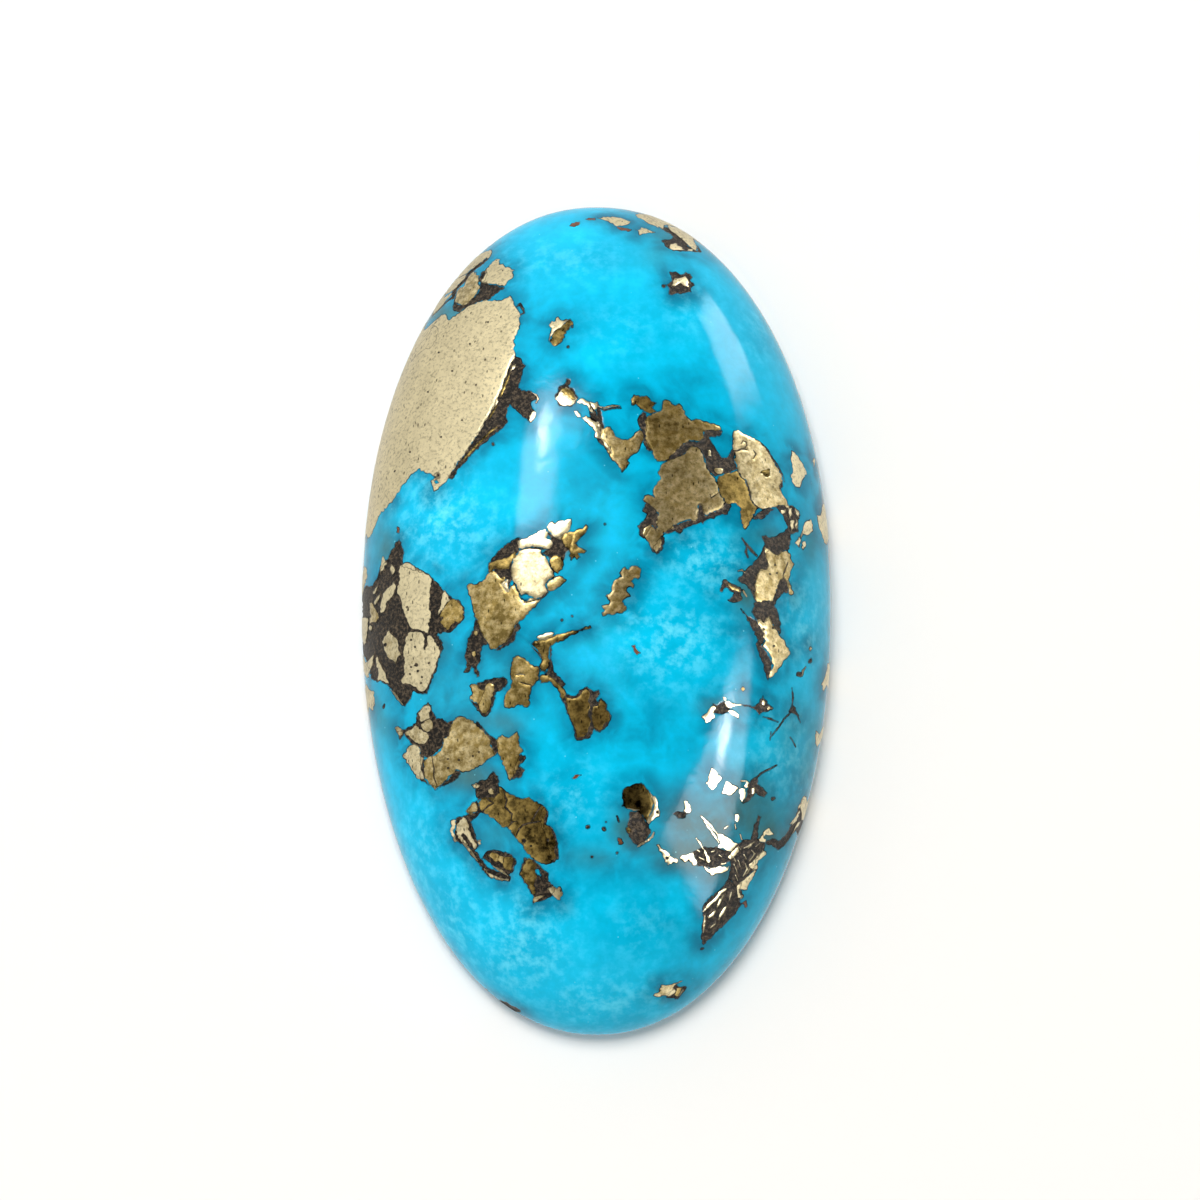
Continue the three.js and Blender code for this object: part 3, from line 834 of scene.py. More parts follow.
class CabochonSettings(bpy.types.PropertyGroup):
    """Sizes and colours of the stone"""

    blue: colour("Blue", "Main colour of the turquoise", "#00AED8")
    bright_blue: colour("Bright Blue", "Clear patches of the turquoise", "#02C2EE")
    deep_blue: colour("Deep Blue", "Turquoise close to the plates", "#006A8A")
    pale_blue: colour("Pale Blue", "Chalky flakes in the turquoise", "#7CDEEE")
    teal: colour("Teal", "Turquoise stained by the matrix", "#2A7380")
    smoke: colour("Smoke", "Thin turquoise over dark matrix", "#40666A")
    pyrite: colour("Pyrite", "Polished pyrite", "#E6D9B2")
    # Bronze for the darker plates: partly their own tarnish, partly painted shade on plates that mirror less
    # light
    tarnish_and_shade_bronze: colour("Tarnish And Shade", "Bronze of the duller plates", "#CBAF68")
    matrix: colour("Matrix", "Dark host rock", "#0B0806")
    matrix_grit: colour("Matrix Grit", "Paler grains in the host rock", "#5A4D3D")
    limonite: colour("Limonite", "Rusty bits", "#8A4A1C")
    rim_width: length("Rim Width", "Dark line round each marking", 0.06)
    plate_relief: length("Plate Relief", "How far the hard plates stand proud", 0.012)
    matrix_relief: length("Matrix Relief", "How far the soft matrix is worn back", 0.03)


class StudioSettings(bpy.types.PropertyGroup):
    """Floor and light"""

    floor: colour("Floor", "Pale floor", "#DADADA")
    floor_glow: brightness("Floor Glow", "Light from under the floor", 0.15)
    ambient: brightness("Ambient", "Strength of the surroundings", 1.0)
    key: brightness("Key", "Large overhead light that the gloss doesn't mirror", 13.0)
    overhead: brightness("Overhead", "Softboxes that the left shoulder mirrors", 7.0)
    side: brightness("Side", "Softboxes that the right flank mirrors", 6.0)


# The stone's form

def girdle_points(angles):
    """The girdle in the direction of each angle: a superellipse, fuller at the +Y end."""
    across, along = np.cos(angles), np.sin(angles)
    power = np.where(along > 0, FULL_END_POWER, SLIM_END_POWER)
    reach = (np.abs(across) ** power + np.abs(along) ** power) ** (-1 / power)
    share = reach * along
    egg = 1 + EGG_SHARE * share * (1 - share ** 2)
    return np.stack([STONE_WIDTH / 2 * reach * across * egg, STONE_LENGTH / 2 * share], -1)


class Form:
    """The stone's surface, and its flat spread: dome and bevel rolled out from the top, in millimetres."""

    def __init__(self):
        girdle = girdle_points(np.linspace(-math.pi, math.pi, GIRDLE_STEPS))
        self.bearing = np.unwrap(np.arctan2(girdle[:, 1], girdle[:, 0]))
        self.radius = np.hypot(girdle[:, 0], girdle[:, 1])
        self.turn = np.linspace(math.pi / 2, 0, PROFILE_STEPS)
        share = np.cos(self.turn) ** (2 / SPREAD_POWER)
        rise = np.sin(self.turn) * (STONE_HEIGHT - GIRDLE_HEIGHT)
        steps = np.hypot(np.diff(share) * MEAN_RADIUS, np.diff(rise))
        self.run = np.concatenate([[0], np.cumsum(steps)])
        self.girdle_run = self.run[-1]
        self.full_run = self.girdle_run + math.hypot((1 - BACK_SHARE) * MEAN_RADIUS, GIRDLE_HEIGHT)

    def girdle_radius(self, bearing):
        return np.interp(bearing, self.bearing, self.radius)

    def spread(self, bearing, run):
        """Flat points at a bearing and a run down from the top."""
        reach = run * self.girdle_radius(bearing) / MEAN_RADIUS
        return np.stack([reach * np.cos(bearing), reach * np.sin(bearing)], -1)

    def run_of(self, flat):
        """How far down from the top flat points lie."""
        bearing = np.arctan2(flat[:, 1], flat[:, 0])
        return np.hypot(flat[:, 0], flat[:, 1]) * MEAN_RADIUS / self.girdle_radius(bearing)

    def girdle_share(self, points):
        """How far out points lie, as a share of the way to the girdle."""
        bearing = np.arctan2(points[:, 1], points[:, 0])
        return np.hypot(points[:, 0], points[:, 1]) / self.girdle_radius(bearing)

    def swayed(self, flat):
        """Flat points moved along the edge in waves, where the flank is steep."""
        bearing = np.arctan2(flat[:, 1], flat[:, 0])
        run = self.run_of(flat)
        weight = np.clip((run - self.girdle_run + SWAY_BAND) / SWAY_RAMP, 0, 1)
        wave = np.sin(2 * math.pi * run / SWAY_LENGTH + SWAY_DRIFT * bearing)
        return self.spread(bearing + SWAY * weight * wave / MEAN_RADIUS, run)

    def lift(self, flat):
        """Flat points back on the stone."""
        bearing = np.arctan2(flat[:, 1], flat[:, 0])
        run = self.run_of(flat)
        turn = np.interp(run, self.run, self.turn)
        bevel = np.clip((run - self.girdle_run) / (self.full_run - self.girdle_run), 0, 1)
        share = np.cos(turn) ** (2 / SPREAD_POWER) - bevel * (1 - BACK_SHARE)
        reach = self.girdle_radius(bearing) * share
        height = GIRDLE_HEIGHT * (1 - bevel) + (STONE_HEIGHT - GIRDLE_HEIGHT) * np.sin(turn)
        return np.stack([reach * np.cos(bearing), reach * np.sin(bearing), height], -1)

    def level(self, points):
        """Below 0 inside the dome, above 0 outside it."""
        rise = np.abs(points[:, 2] - GIRDLE_HEIGHT) / (STONE_HEIGHT - GIRDLE_HEIGHT)
        return self.girdle_share(points) ** SPREAD_POWER + rise ** 2 - 1

    def flatten(self, points):
        """Points of the dome, as flat points."""
        bearing = np.arctan2(points[:, 1], points[:, 0])
        rise = np.clip((points[:, 2] - GIRDLE_HEIGHT) / (STONE_HEIGHT - GIRDLE_HEIGHT), 0, 1)
        turn = np.arctan2(rise, self.girdle_share(points) ** (SPREAD_POWER / 2))
        return self.spread(bearing, np.interp(-turn, -self.turn, self.run))

    def normals(self, points):
        """Outward directions of the dome, by small differences of its level."""
        slopes = [self.level(points + axis) - self.level(points - axis) for axis in np.eye(3) * NORMAL_STEP]
        slopes = np.stack(slopes, -1)
        return slopes / np.maximum(np.linalg.norm(slopes, axis=1, keepdims=True), TINY)


class Sight:
    """The camera's lines of sight through picture pixels, in millimetres."""

    def __init__(self, form):
        self.form = form
        self.back = np.array([0, -math.cos(CAMERA_ELEVATION), math.sin(CAMERA_ELEVATION)])
        self.up = np.array([0, math.sin(CAMERA_ELEVATION), math.cos(CAMERA_ELEVATION)])
        self.right = np.array([1.0, 0, 0])
        off = (PICTURE_SIDE / 2 - np.array(STONE_PIXEL)) / PIXELS_PER_MM
        self.aim = np.array([0, 0, AIM_HEIGHT]) + self.right * off[0] - self.up * off[1]
        self.eye = self.aim + self.back * CAMERA_DISTANCE

    def along(self, pixels, depth):
        """Points on the lines of sight through pixels, at a depth from the eye."""
        off = (pixels - PICTURE_SIDE / 2) / PIXELS_PER_MM
        target = self.aim + off[:, :1] * self.right - off[:, 1:] * self.up
        ray = target - self.eye
        ray /= np.linalg.norm(ray, axis=1, keepdims=True)
        return self.eye + ray * depth[:, None]

    def level_at(self, pixels, depth):
        return self.form.level(self.along(pixels, depth))

    def meet(self, pixels):
        """Where the lines of sight meet the dome, and which of them do."""
        near = np.full(len(pixels), CAMERA_DISTANCE - STONE_LENGTH)
        low = near
        high = np.full(len(pixels), CAMERA_DISTANCE + STONE_LENGTH)
        for _ in range(DEEPEST_STEPS):
            third = (high - low) / 3
            closer = self.level_at(pixels, low + third) > self.level_at(pixels, high - third)
            low, high = np.where(closer, low + third, low), np.where(closer, high, high - third)
        met = self.level_at(pixels, low) < 0
        low, high = near, low
        for _ in range(SURFACE_STEPS):
            middle = (low + high) / 2
            outside = self.level_at(pixels, middle) > 0
            low, high = np.where(outside, middle, low), np.where(outside, high, middle)
        return self.along(pixels, high), met

    def flat(self, pixels, owners):
        """Flat points of the stone under pixels of markings, which run on round the edge past the outline."""
        middle = np.array(STONE_PIXEL)
        inner, outer = np.zeros(len(pixels)), np.ones(len(pixels))
        _, met = self.meet(pixels)
        for _ in range(OUTLINE_STEPS):
            half = (inner + outer) / 2
            _, inside_outline = self.meet(middle + (pixels - middle) * half[:, None])
            inner, outer = np.where(inside_outline, half, inner), np.where(inside_outline, outer, half)
        share = np.where(met, 1.0, inner)
        points, _ = self.meet(middle + (pixels - middle) * share[:, None])
        past = np.linalg.norm(pixels - middle, axis=1) * (1 - share) / PIXELS_PER_MM
        return self.form.swayed(run_on(self.form.flatten(points), past, owners))

    def pixels_of(self, points):
        """Picture pixels of points of the stone."""
        ray = points - self.eye
        depth = -(ray @ self.back)
        across = ray @ self.right / depth * CAMERA_DISTANCE
        up = ray @ self.up / depth * CAMERA_DISTANCE
        return PICTURE_SIDE / 2 + np.stack([across, -up], -1) * PIXELS_PER_MM


def run_on(flat, past, owners):
    """Carries the points of markings that lie past the outline on round the edge."""
    spot = flat[:, 0] + 1j * flat[:, 1]
    distance = np.maximum(np.abs(spot), TINY)
    heading = np.where(past > 0, spot / distance, 0)
    count = owners.max() + 1
    middle = np.bincount(owners, heading.real, count) + 1j * np.bincount(owners, heading.imag, count)
    off = np.angle(heading * np.conj(middle[owners]))
    half = np.zeros(count)
    np.maximum.at(half, owners, np.abs(off))
    side = np.abs(off) / np.maximum(half[owners], TINY)
    waves = [size * np.sin(turns * np.angle(spot) + phase) for turns, phase, size in PAST_WAVES]
    wave = PAST_SHARE + sum(waves)
    most = np.maximum(PAST_REACH * half[owners] * np.abs(spot), TINY)
    reach = most * np.tanh(past * wave / most) * np.sqrt(1 - (PAST_ROUNDING * side) ** 2)
    turn = -np.clip(off, -PAST_TURN, PAST_TURN) * PAST_NARROWING * reach / (reach + 1)
    moved = spot * (1 + reach / distance) * np.exp(1j * turn)
    return np.stack([moved.real, moved.imag], -1)


# Marking outlines

def frayed(points, random, amount=FRAY):
    """A closed outline with small steps along its sides, each a little off the line."""
    made = []
    for start, end in zip(points, points[1:] + points[:1]):
        start, end = np.array(start, float), np.array(end, float)
        side = end - start
        reach = max(np.hypot(*side), TINY)
        count = max(1, round(reach / FRAY_STEP))
        across = np.array([-side[1], side[0]]) / reach
        made.append(start)
        for step in range(1, count):
            made.append(start + side * step / count + across * random.uniform(-amount, amount))
    return np.array(made)


def stroke(points, width):
    """The outline of a line that is drawn with a width and runs out at its ends."""
    points = np.array(points, float)
    along = np.gradient(points, axis=0)
    along /= np.linalg.norm(along, axis=1, keepdims=True)
    across = np.stack([-along[:, 1], along[:, 0]], -1) * width / 2
    across[[0, -1]] *= STROKE_END_SHARE
    return [tuple(p) for p in np.concatenate([points + across, (points - across)[::-1]])]


def speck(x, y, radius, random):
    """The outline of a small uneven spot."""
    angles = np.arange(SPECK_SIDES) * 2 * math.pi / SPECK_SIDES + random.uniform(0, 1)
    reach = radius * random.uniform(*SPECK_REACH, SPECK_SIDES)
    return np.stack([x + reach * np.cos(angles), y + reach * np.sin(angles)], -1)


def marking_layers():
    """Every marking from the bottom layer up: kind, tone and frayed outline in pixels."""
    random = np.random.default_rng(SEED)
    layers = [(MATRIX, 1.0, frayed(points, random)) for points in MATRIX_PATCHES.values()]
    layers += [(PYRITE, tone, frayed(points, random)) for tone, points in PYRITE_PLATES.values()]
    for width, lines in MATRIX_LINES.values():
        layers += [(MATRIX, 1.0, frayed(stroke(line, width), random, LINE_FRAY)) for line in lines]
    for tone, width, lines in PYRITE_SLIVERS.values():
        layers += [(PYRITE, tone, frayed(stroke(line, width), random, SLIVER_FRAY)) for line in lines]
    layers += [(MATRIX, 1.0, speck(x, y, radius, random)) for x, y, radius in DARK_SPECKS]
    layers += [(LIMONITE, 1.0, frayed(points, random)) for points in LIMONITE_BITS.values()]
    layers += [(TURQUOISE, 1.0, frayed(points, random)) for points in BLUE_WINDOWS.values()]
    return layers


def placed_markings(form, sight):
    """The markings with their outlines as flat points, none of them closer than a gap to the bevel's end."""
    layers = marking_layers()
    counts = [len(pixels) for _, _, pixels in layers]
    owners = np.repeat(np.arange(len(layers)), counts)
    flat = sight.flat(np.concatenate([pixels for _, _, pixels in layers]), owners)
    flat *= np.minimum(1, (form.full_run - BEVEL_END_GAP) / np.maximum(form.run_of(flat), TINY))[:, None]
    outlines = np.split(flat, np.cumsum(counts)[:-1])
    return [(kind, tone, outline) for (kind, tone, _), outline in zip(layers, outlines)]


def inside(points, outline):
    """Which points lie inside a closed outline."""
    found = np.zeros(len(points), bool)
    low, high = outline.min(0), outline.max(0)
    near = np.where(((points >= low) & (points <= high)).all(1))[0]
    x, y = points[near].T
    odd = np.zeros(len(near), bool)
    for (ax, ay), (bx, by) in zip(outline, np.roll(outline, -1, axis=0)):
        crosses = (ay > y) != (by > y)
        if crosses.any():
            odd ^= crosses & (x < ax + (y - ay) * (bx - ax) / (by - ay))
    found[near] = odd
    return found


def face_kinds(middles, layers):
    """Kind and tone of each face from the markings that cover its middle."""
    kinds, tones = np.full(len(middles), TURQUOISE), np.ones(len(middles))
    for kind, tone, outline in layers:
        covered = inside(middles, outline)
        kinds[covered], tones[covered] = kind, tone
    return kinds, tones


# Mesh

def tree_of(points):
    """A search tree over flat points."""
    tree = kdtree.KDTree(len(points))
    for index, point in enumerate(points):
        tree.insert((*point, 0), index)
    tree.balance()
    return tree


def distances(tree, points):
    """How far points lie from the nearest of a search tree's points."""
    return np.array([tree.find((x, y, 0))[2] for x, y in points])


def dense(outline, step):
    """An outline's points with more between them, no further apart than a step."""
    made = []
    for start, end in zip(outline, np.roll(outline, -1, axis=0)):
        count = max(1, math.ceil(np.hypot(*(end - start)) / step))
        made.append(start + (end - start) * (np.arange(count) / count)[:, None])
    return np.concatenate(made)


def lattice(spacing, half_width, half_length):
    """A triangular grid of points over a box."""
    rows = np.arange(-half_length, half_length, spacing * math.sqrt(3) / 2)
    columns = np.arange(-half_width, half_width, spacing)
    grid = []
    for index, y in enumerate(rows):
        grid.append(np.stack([columns + spacing / 2 * (index % 2), np.full(len(columns), y)], -1))
    return np.concatenate(grid)


def fill_points(form, tree):
    """Points between the outlines, closer together near them."""
    ring = form.spread(np.linspace(-math.pi, math.pi, BOX_STEPS), form.full_run)
    half_sides = np.abs(ring).max(0)
    made, start = [], 0.0
    for reach, spacing in SPACINGS:
        grid = lattice(spacing, *half_sides)
        grid = grid[form.run_of(grid) < form.full_run - FILL_END_GAP]
        gap = distances(tree, grid)
        made.append(grid[(gap >= max(start, spacing * FILL_GAP_SHARE)) & (gap < reach)])
        start = reach
    return np.concatenate(made)


def triangulated(outlines, fill):
    """Triangles over closed outlines, which are kept as edges, and the loose points between them."""
    points, edges = [], []
    for outline in outlines:
        first, count = len(points), len(outline)
        edges += [(first + i, first + (i + 1) % count) for i in range(count)]
        points += [Vector(p) for p in outline]
    points += [Vector(p) for p in fill]
    verts, _, faces, _, _, _ = geometry.delaunay_2d_cdt(points, edges, [], 0, MERGE_DISTANCE)
    return np.array([v[:] for v in verts]), np.array(faces)


def soft_patches(pixels, patches):
    """The strongest of the soft patches at each pixel."""
    strength = np.zeros(len(pixels))
    for x, y, half_width, half_height, most in patches:
        far = ((pixels[:, 0] - x) / half_width) ** 2 + ((pixels[:, 1] - y) / half_height) ** 2
        strength = np.maximum(strength, most * np.exp(-far * PATCH_FALL))
    return strength


def smooth_step(value):
    """A value from 0 to 1 with level ends."""
    value = np.clip(value, 0, 1)
    return value * value * (3 - 2 * value)


def relief(kinds, faces, gap, settings):
    """How far each vertex stands out of the polished form: plates a little proud, matrix worn back."""
    rise = np.zeros(len(gap))
    for kind, height in ((PYRITE, settings.plate_relief), (MATRIX, -settings.matrix_relief)):
        touched = np.unique(faces[kinds == kind])
        rise[touched] += height / MM * smooth_step(gap[touched] / RELIEF_SLOPE)
    return rise


def back_layers():
    """The plates that run through the stone, mirrored and a little smaller, as outlines on its back."""
    layers = []
    for name in THROUGH_PLATES:
        tone, points = PYRITE_PLATES[name]
        outline = (np.array(points, float) - PICTURE_SIDE / 2) / PIXELS_PER_MM * -BACK_PLATE_SHARE
        layers.append((PYRITE, tone, dense(outline, BACK_OUTLINE_STEP)))
    return layers


def back_faces(form, ring):
    """The flat back inside the bevel's ring: points with the ring's first, faces, kinds and tones."""
    ring = form.lift(ring)[:, :2]
    layers = back_layers()
    outlines = [ring] + [outline for _, _, outline in layers]
    grid = lattice(BACK_SPACING, STONE_WIDTH / 2, STONE_LENGTH / 2)
    grid = grid[form.girdle_share(grid) < BACK_SHARE]
    grid = grid[distances(tree_of(np.concatenate(outlines)), grid) > BACK_SPACING / 2]
    flat, faces = triangulated(outlines, grid)
    kinds, tones = face_kinds(flat[faces].mean(1), layers)
    return flat, faces, kinds, tones


class StoneMesh:
    """The stone's mesh: the dome and bevel with every marking as faces of its own, and the flat back."""

    def __init__(self, settings):
        form = Form()
        sight = Sight(form)
        bearings = np.linspace(-math.pi, math.pi, RING_COUNT, endpoint=False)
        ring = form.spread(bearings, form.full_run)
        girdle = form.spread(bearings, form.girdle_run)
        self.build_dome(form, sight, ring, girdle, settings)
        self.add_back(form, ring)

    def build_dome(self, form, sight, ring, girdle, settings):
        """Cuts the dome and bevel along every outline and raises the plates."""
        layers = placed_markings(form, sight)
        outlines = [outline for _, _, outline in layers]
        tree = tree_of(np.concatenate([dense(outline, OUTLINE_STEP) for outline in outlines]))
        fill = fill_points(form, tree)
        fill = fill[distances(tree_of(girdle), fill) > GIRDLE_GAP]
        flat, self.faces = triangulated([ring, girdle] + outlines, fill)
        self.kinds, self.tones = face_kinds(flat[self.faces].mean(1), layers)
        polished = form.lift(flat)
        pixels = sight.pixels_of(polished)
        self.fields = {name: soft_patches(pixels, patches) for name, patches in SOFT_FIELDS.items()}
        self.fields["edge_mm"] = distances(tree, flat)
        large = outlines[:len(MATRIX_PATCHES) + len(PYRITE_PLATES)]
        large_tree = tree_of(np.concatenate([dense(outline, LARGE_OUTLINE_STEP) for outline in large]))
        self.fields["near_mm"] = distances(large_tree, flat)
        rise = relief(self.kinds, self.faces, self.fields["edge_mm"], settings)
        rise[polished[:, 2] <= GIRDLE_HEIGHT] = 0
        self.points = polished + form.normals(polished) * rise[:, None]

    def add_back(self, form, ring):
        """Closes the mesh with the flat back, which shares the ring's vertices."""
        flat, faces, kinds, tones = back_faces(form, ring)
        own = flat[len(ring):]
        faces = np.where(faces < len(ring), faces, faces - len(ring) + len(self.points))
        self.points = np.concatenate([self.points, np.column_stack([own, np.zeros(len(own))])])
        self.faces = np.concatenate([self.faces, faces[:, ::-1]])
        self.kinds = np.concatenate([self.kinds, kinds])
        self.tones = np.concatenate([self.tones, tones])
        for name, value in BACK_FIELDS.items():
            self.fields[name] = np.concatenate([self.fields[name], np.full(len(own), value)])


# Materials

def input_key(name):
    """An input's name, or its number where that is written as i and digits."""
    return int(name[1:]) if name[0] == "i" and name[1:].isdigit() else name.replace("_", " ")


def add(tree, kind, settings=None, **links):
    """Adds a node to a tree, sets its properties and input values, and links its inputs from sockets."""
    node = tree.nodes.new(kind)
    for name, value in (settings or {}).items():
        if hasattr(node, name):
            setattr(node, name, value)
        else:
            node.inputs[input_key(name)].default_value = value
    for name, source in links.items():
        tree.links.new(source, node.inputs[input_key(name)])
    return node


def new_material(name, values):
    """An empty node material with its shader, the shader's own values and the output joined."""
    material = bpy.data.materials.new(name)
    material.use_nodes = True
    tree = material.node_tree
    tree.nodes.clear()
    shader = add(tree, "ShaderNodeBsdfPrincipled", values)
    add(tree, "ShaderNodeOutputMaterial", Surface=shader.outputs["BSDF"])
    return material, tree, shader


def opaque(rgb):
    return (*rgb, 1.0)


def per_metre(size_mm):
    """A noise scale whose features have a size in millimetres."""
    return 1 / (size_mm * MM)


def mesh_fields(tree, names):
    """Sockets with the mesh's own fields."""
    return [add(tree, "ShaderNodeAttribute", {"attribute_name": name}).outputs["Fac"] for name in names]


def blue_ground(tree, settings, drift, flow):
    """The turquoise itself: bright in drifts, deeper in patches and in an uneven halo round the plates."""
    deep, near = mesh_fields(tree, ("deep", "near_mm"))
    base = add(tree, "ShaderNodeMix", {
        "data_type": "RGBA", "i6": opaque(settings.blue), "i7": opaque(settings.bright_blue)}, i0=drift)
    patchy = add(tree, "ShaderNodeMapRange", {"From Min": 0.3, "From Max": 0.6}, Value=flow)
    patches = add(tree, "ShaderNodeMath", {"operation": "MULTIPLY"}, i0=deep, i1=patchy.outputs["Result"])
    halo = add(tree, "ShaderNodeMapRange", {
        "interpolation_type": "SMOOTHSTEP", "From Min": HALO_WIDTH, "From Max": 0.0, "To Max": 0.9},
        Value=near)
    uneven = add(tree, "ShaderNodeMapRange", {"From Min": 0.36, "From Max": 0.6, "To Min": 0.4}, Value=flow)
    halo_share = add(tree, "ShaderNodeMath", {"operation": "MULTIPLY"},
                     i0=halo.outputs["Result"], i1=uneven.outputs["Result"])
    depth = add(tree, "ShaderNodeMath", {"operation": "MAXIMUM"},
                i0=halo_share.outputs["Value"], i1=patches.outputs["Value"])
    ground = add(tree, "ShaderNodeMix", {"data_type": "RGBA", "i7": opaque(settings.deep_blue)},
                 i0=depth.outputs["Value"], i6=base.outputs[2])
    return ground.outputs[2]


def flaked(tree, settings, ground, flake):
    """Chalky flakes over the blue, gathered in clouds."""
    cloud, = mesh_fields(tree, ("cloud",))
    spots = add(tree, "ShaderNodeMapRange", {
        "interpolation_type": "SMOOTHSTEP", "From Min": 0.42, "From Max": 0.68}, Value=flake)
    share = add(tree, "ShaderNodeMath", {"operation": "MULTIPLY"}, i0=spots.outputs["Result"], i1=cloud)
    thin = add(tree, "ShaderNodeMath", {"operation": "MULTIPLY", "i1": 0.5}, i0=share.outputs["Value"])
    pale = add(tree, "ShaderNodeMix", {"data_type": "RGBA", "i7": opaque(settings.pale_blue)},
               i0=thin.outputs["Value"], i6=ground)
    return pale.outputs[2]


def stained(tree, settings, ground, drift, flow):
    """Teal and smoky stains, where the matrix lies just below the polish."""
    veil, smoke = mesh_fields(tree, ("veil", "smoke"))
    drifting = add(tree, "ShaderNodeMath", {"operation": "MULTIPLY"}, i0=veil, i1=drift)
    share = add(tree, "ShaderNodeMath", {"operation": "MULTIPLY_ADD", "i1": 0.35},
                i0=veil, i2=drifting.outputs["Value"])
    teal = add(tree, "ShaderNodeMix", {"data_type": "RGBA", "i7": opaque(settings.teal)},
               i0=share.outputs["Value"], i6=ground)
    wisps = add(tree, "ShaderNodeMapRange", {"From Min": 0.3, "From Max": 0.6, "To Min": 0.6}, Value=flow)
    smoke_share = add(tree, "ShaderNodeMath", {"operation": "MULTIPLY"}, i0=smoke, i1=wisps.outputs["Result"])
    smoky = add(tree, "ShaderNodeMix", {"data_type": "RGBA", "i7": opaque(settings.smoke)},
                i0=smoke_share.outputs["Value"], i6=teal.outputs[2])
    return smoky.outputs[2]


def speckled(tree, settings, ground, place, flake):
    """Fine unevenness of the blue, and pale dots strewn over it."""
    fine = add(tree, "ShaderNodeMapRange", {
        "From Min": 0.3, "From Max": 0.7, "To Min": 0.9, "To Max": 1.08}, Value=flake)
    uneven = add(tree, "ShaderNodeVectorMath", {"operation": "SCALE"},
                 Vector=ground, Scale=fine.outputs["Result"])
    dots = add(tree, "ShaderNodeTexVoronoi", {"Scale": per_metre(0.8)}, Vector=place)
    share = add(tree, "ShaderNodeMapRange", {
        "From Min": 0.05, "From Max": 0.02, "To Max": 0.5}, Value=dots.outputs["Distance"])
    dotted = add(tree, "ShaderNodeMix", {"data_type": "RGBA", "i7": opaque(settings.pale_blue)},
                 i0=share.outputs["Result"], i6=uneven.outputs["Vector"])
    return dotted.outputs[2]


def rimmed(tree, settings, ground, flake):
    """A broken dark line in the blue round every marking."""
    edge, = mesh_fields(tree, ("edge_mm",))
    width = settings.rim_width / MM
    rim = add(tree, "ShaderNodeMapRange", {
        "interpolation_type": "SMOOTHSTEP", "From Min": width, "From Max": width * 0.3}, Value=edge)
    breaks = add(tree, "ShaderNodeMapRange", {"From Min": 0.4, "From Max": 0.56, "To Min": 0.2}, Value=flake)
    share = add(tree, "ShaderNodeMath", {"operation": "MULTIPLY"},
                i0=rim.outputs["Result"], i1=breaks.outputs["Result"])
    line = add(tree, "ShaderNodeMix", {"data_type": "RGBA", "i7": opaque(settings.matrix)},
               i0=share.outputs["Value"], i6=ground)
    return line.outputs[2]


def polished_turquoise(settings):
    """Turquoise polished to a wax-like gloss: opaque blue with chalky flakes, deeper beside the plates."""
    material, tree, shader = new_material("polished_turquoise", {
        "Roughness": 0.09, "IOR": 1.61, "Specular IOR Level": 0.12})
    place = add(tree, "ShaderNodeTexCoord").outputs["Object"]
    drift = add(tree, "ShaderNodeTexNoise", {"Scale": per_metre(2.2), "Detail": 4.0}, Vector=place)
    drift = add(tree, "ShaderNodeMapRange", {"From Min": 0.35, "From Max": 0.7}, Value=drift.outputs["Fac"])
    drift = drift.outputs["Result"]
    flow = add(tree, "ShaderNodeTexNoise", {
        "Scale": per_metre(1.3), "Detail": 5.0, "Distortion": 0.6}, Vector=place).outputs["Fac"]
    flake = add(tree, "ShaderNodeTexNoise", {
        "Scale": per_metre(0.5), "Detail": 6.0, "Roughness": 0.62}, Vector=place).outputs["Fac"]
    ground = blue_ground(tree, settings, drift, flow)
    ground = flaked(tree, settings, ground, flake)
    ground = stained(tree, settings, ground, drift, flow)
    ground = speckled(tree, settings, ground, place, flake)
    ground = rimmed(tree, settings, ground, flake)
    tree.links.new(ground, shader.inputs["Base Color"])
    bump = add(tree, "ShaderNodeBump", {"Strength": 0.3, "Distance": 0.04 * MM}, Height=flow)
    tree.links.new(bump.outputs["Normal"], shader.inputs["Normal"])
    return material


def plate_metal(tree, settings, tone, patch):
    """Brass where a plate is bright and bronze where it is dark, in mottled patches: partly tarnish, partly
    painted gold highlights and painted shade.
    """
    mottled = add(tree, "ShaderNodeMath", {"operation": "MULTIPLY_ADD", "i1": 0.5}, i0=patch, i2=tone)
    bright = add(tree, "ShaderNodeMapRange", {
        "From Min": 0.93, "From Max": 1.16}, Value=mottled.outputs["Value"])
    # Bronze to brass by tone and mottling: tarnish, with painted gold highlights on the bright spots and
    # painted shade on the dark plates
    metal = add(tree, "ShaderNodeMix", {
        "data_type": "RGBA", "i6": opaque(settings.tarnish_and_shade_bronze), "i7": opaque(settings.pyrite)},
        i0=bright.outputs["Result"])
    return metal.outputs[2]


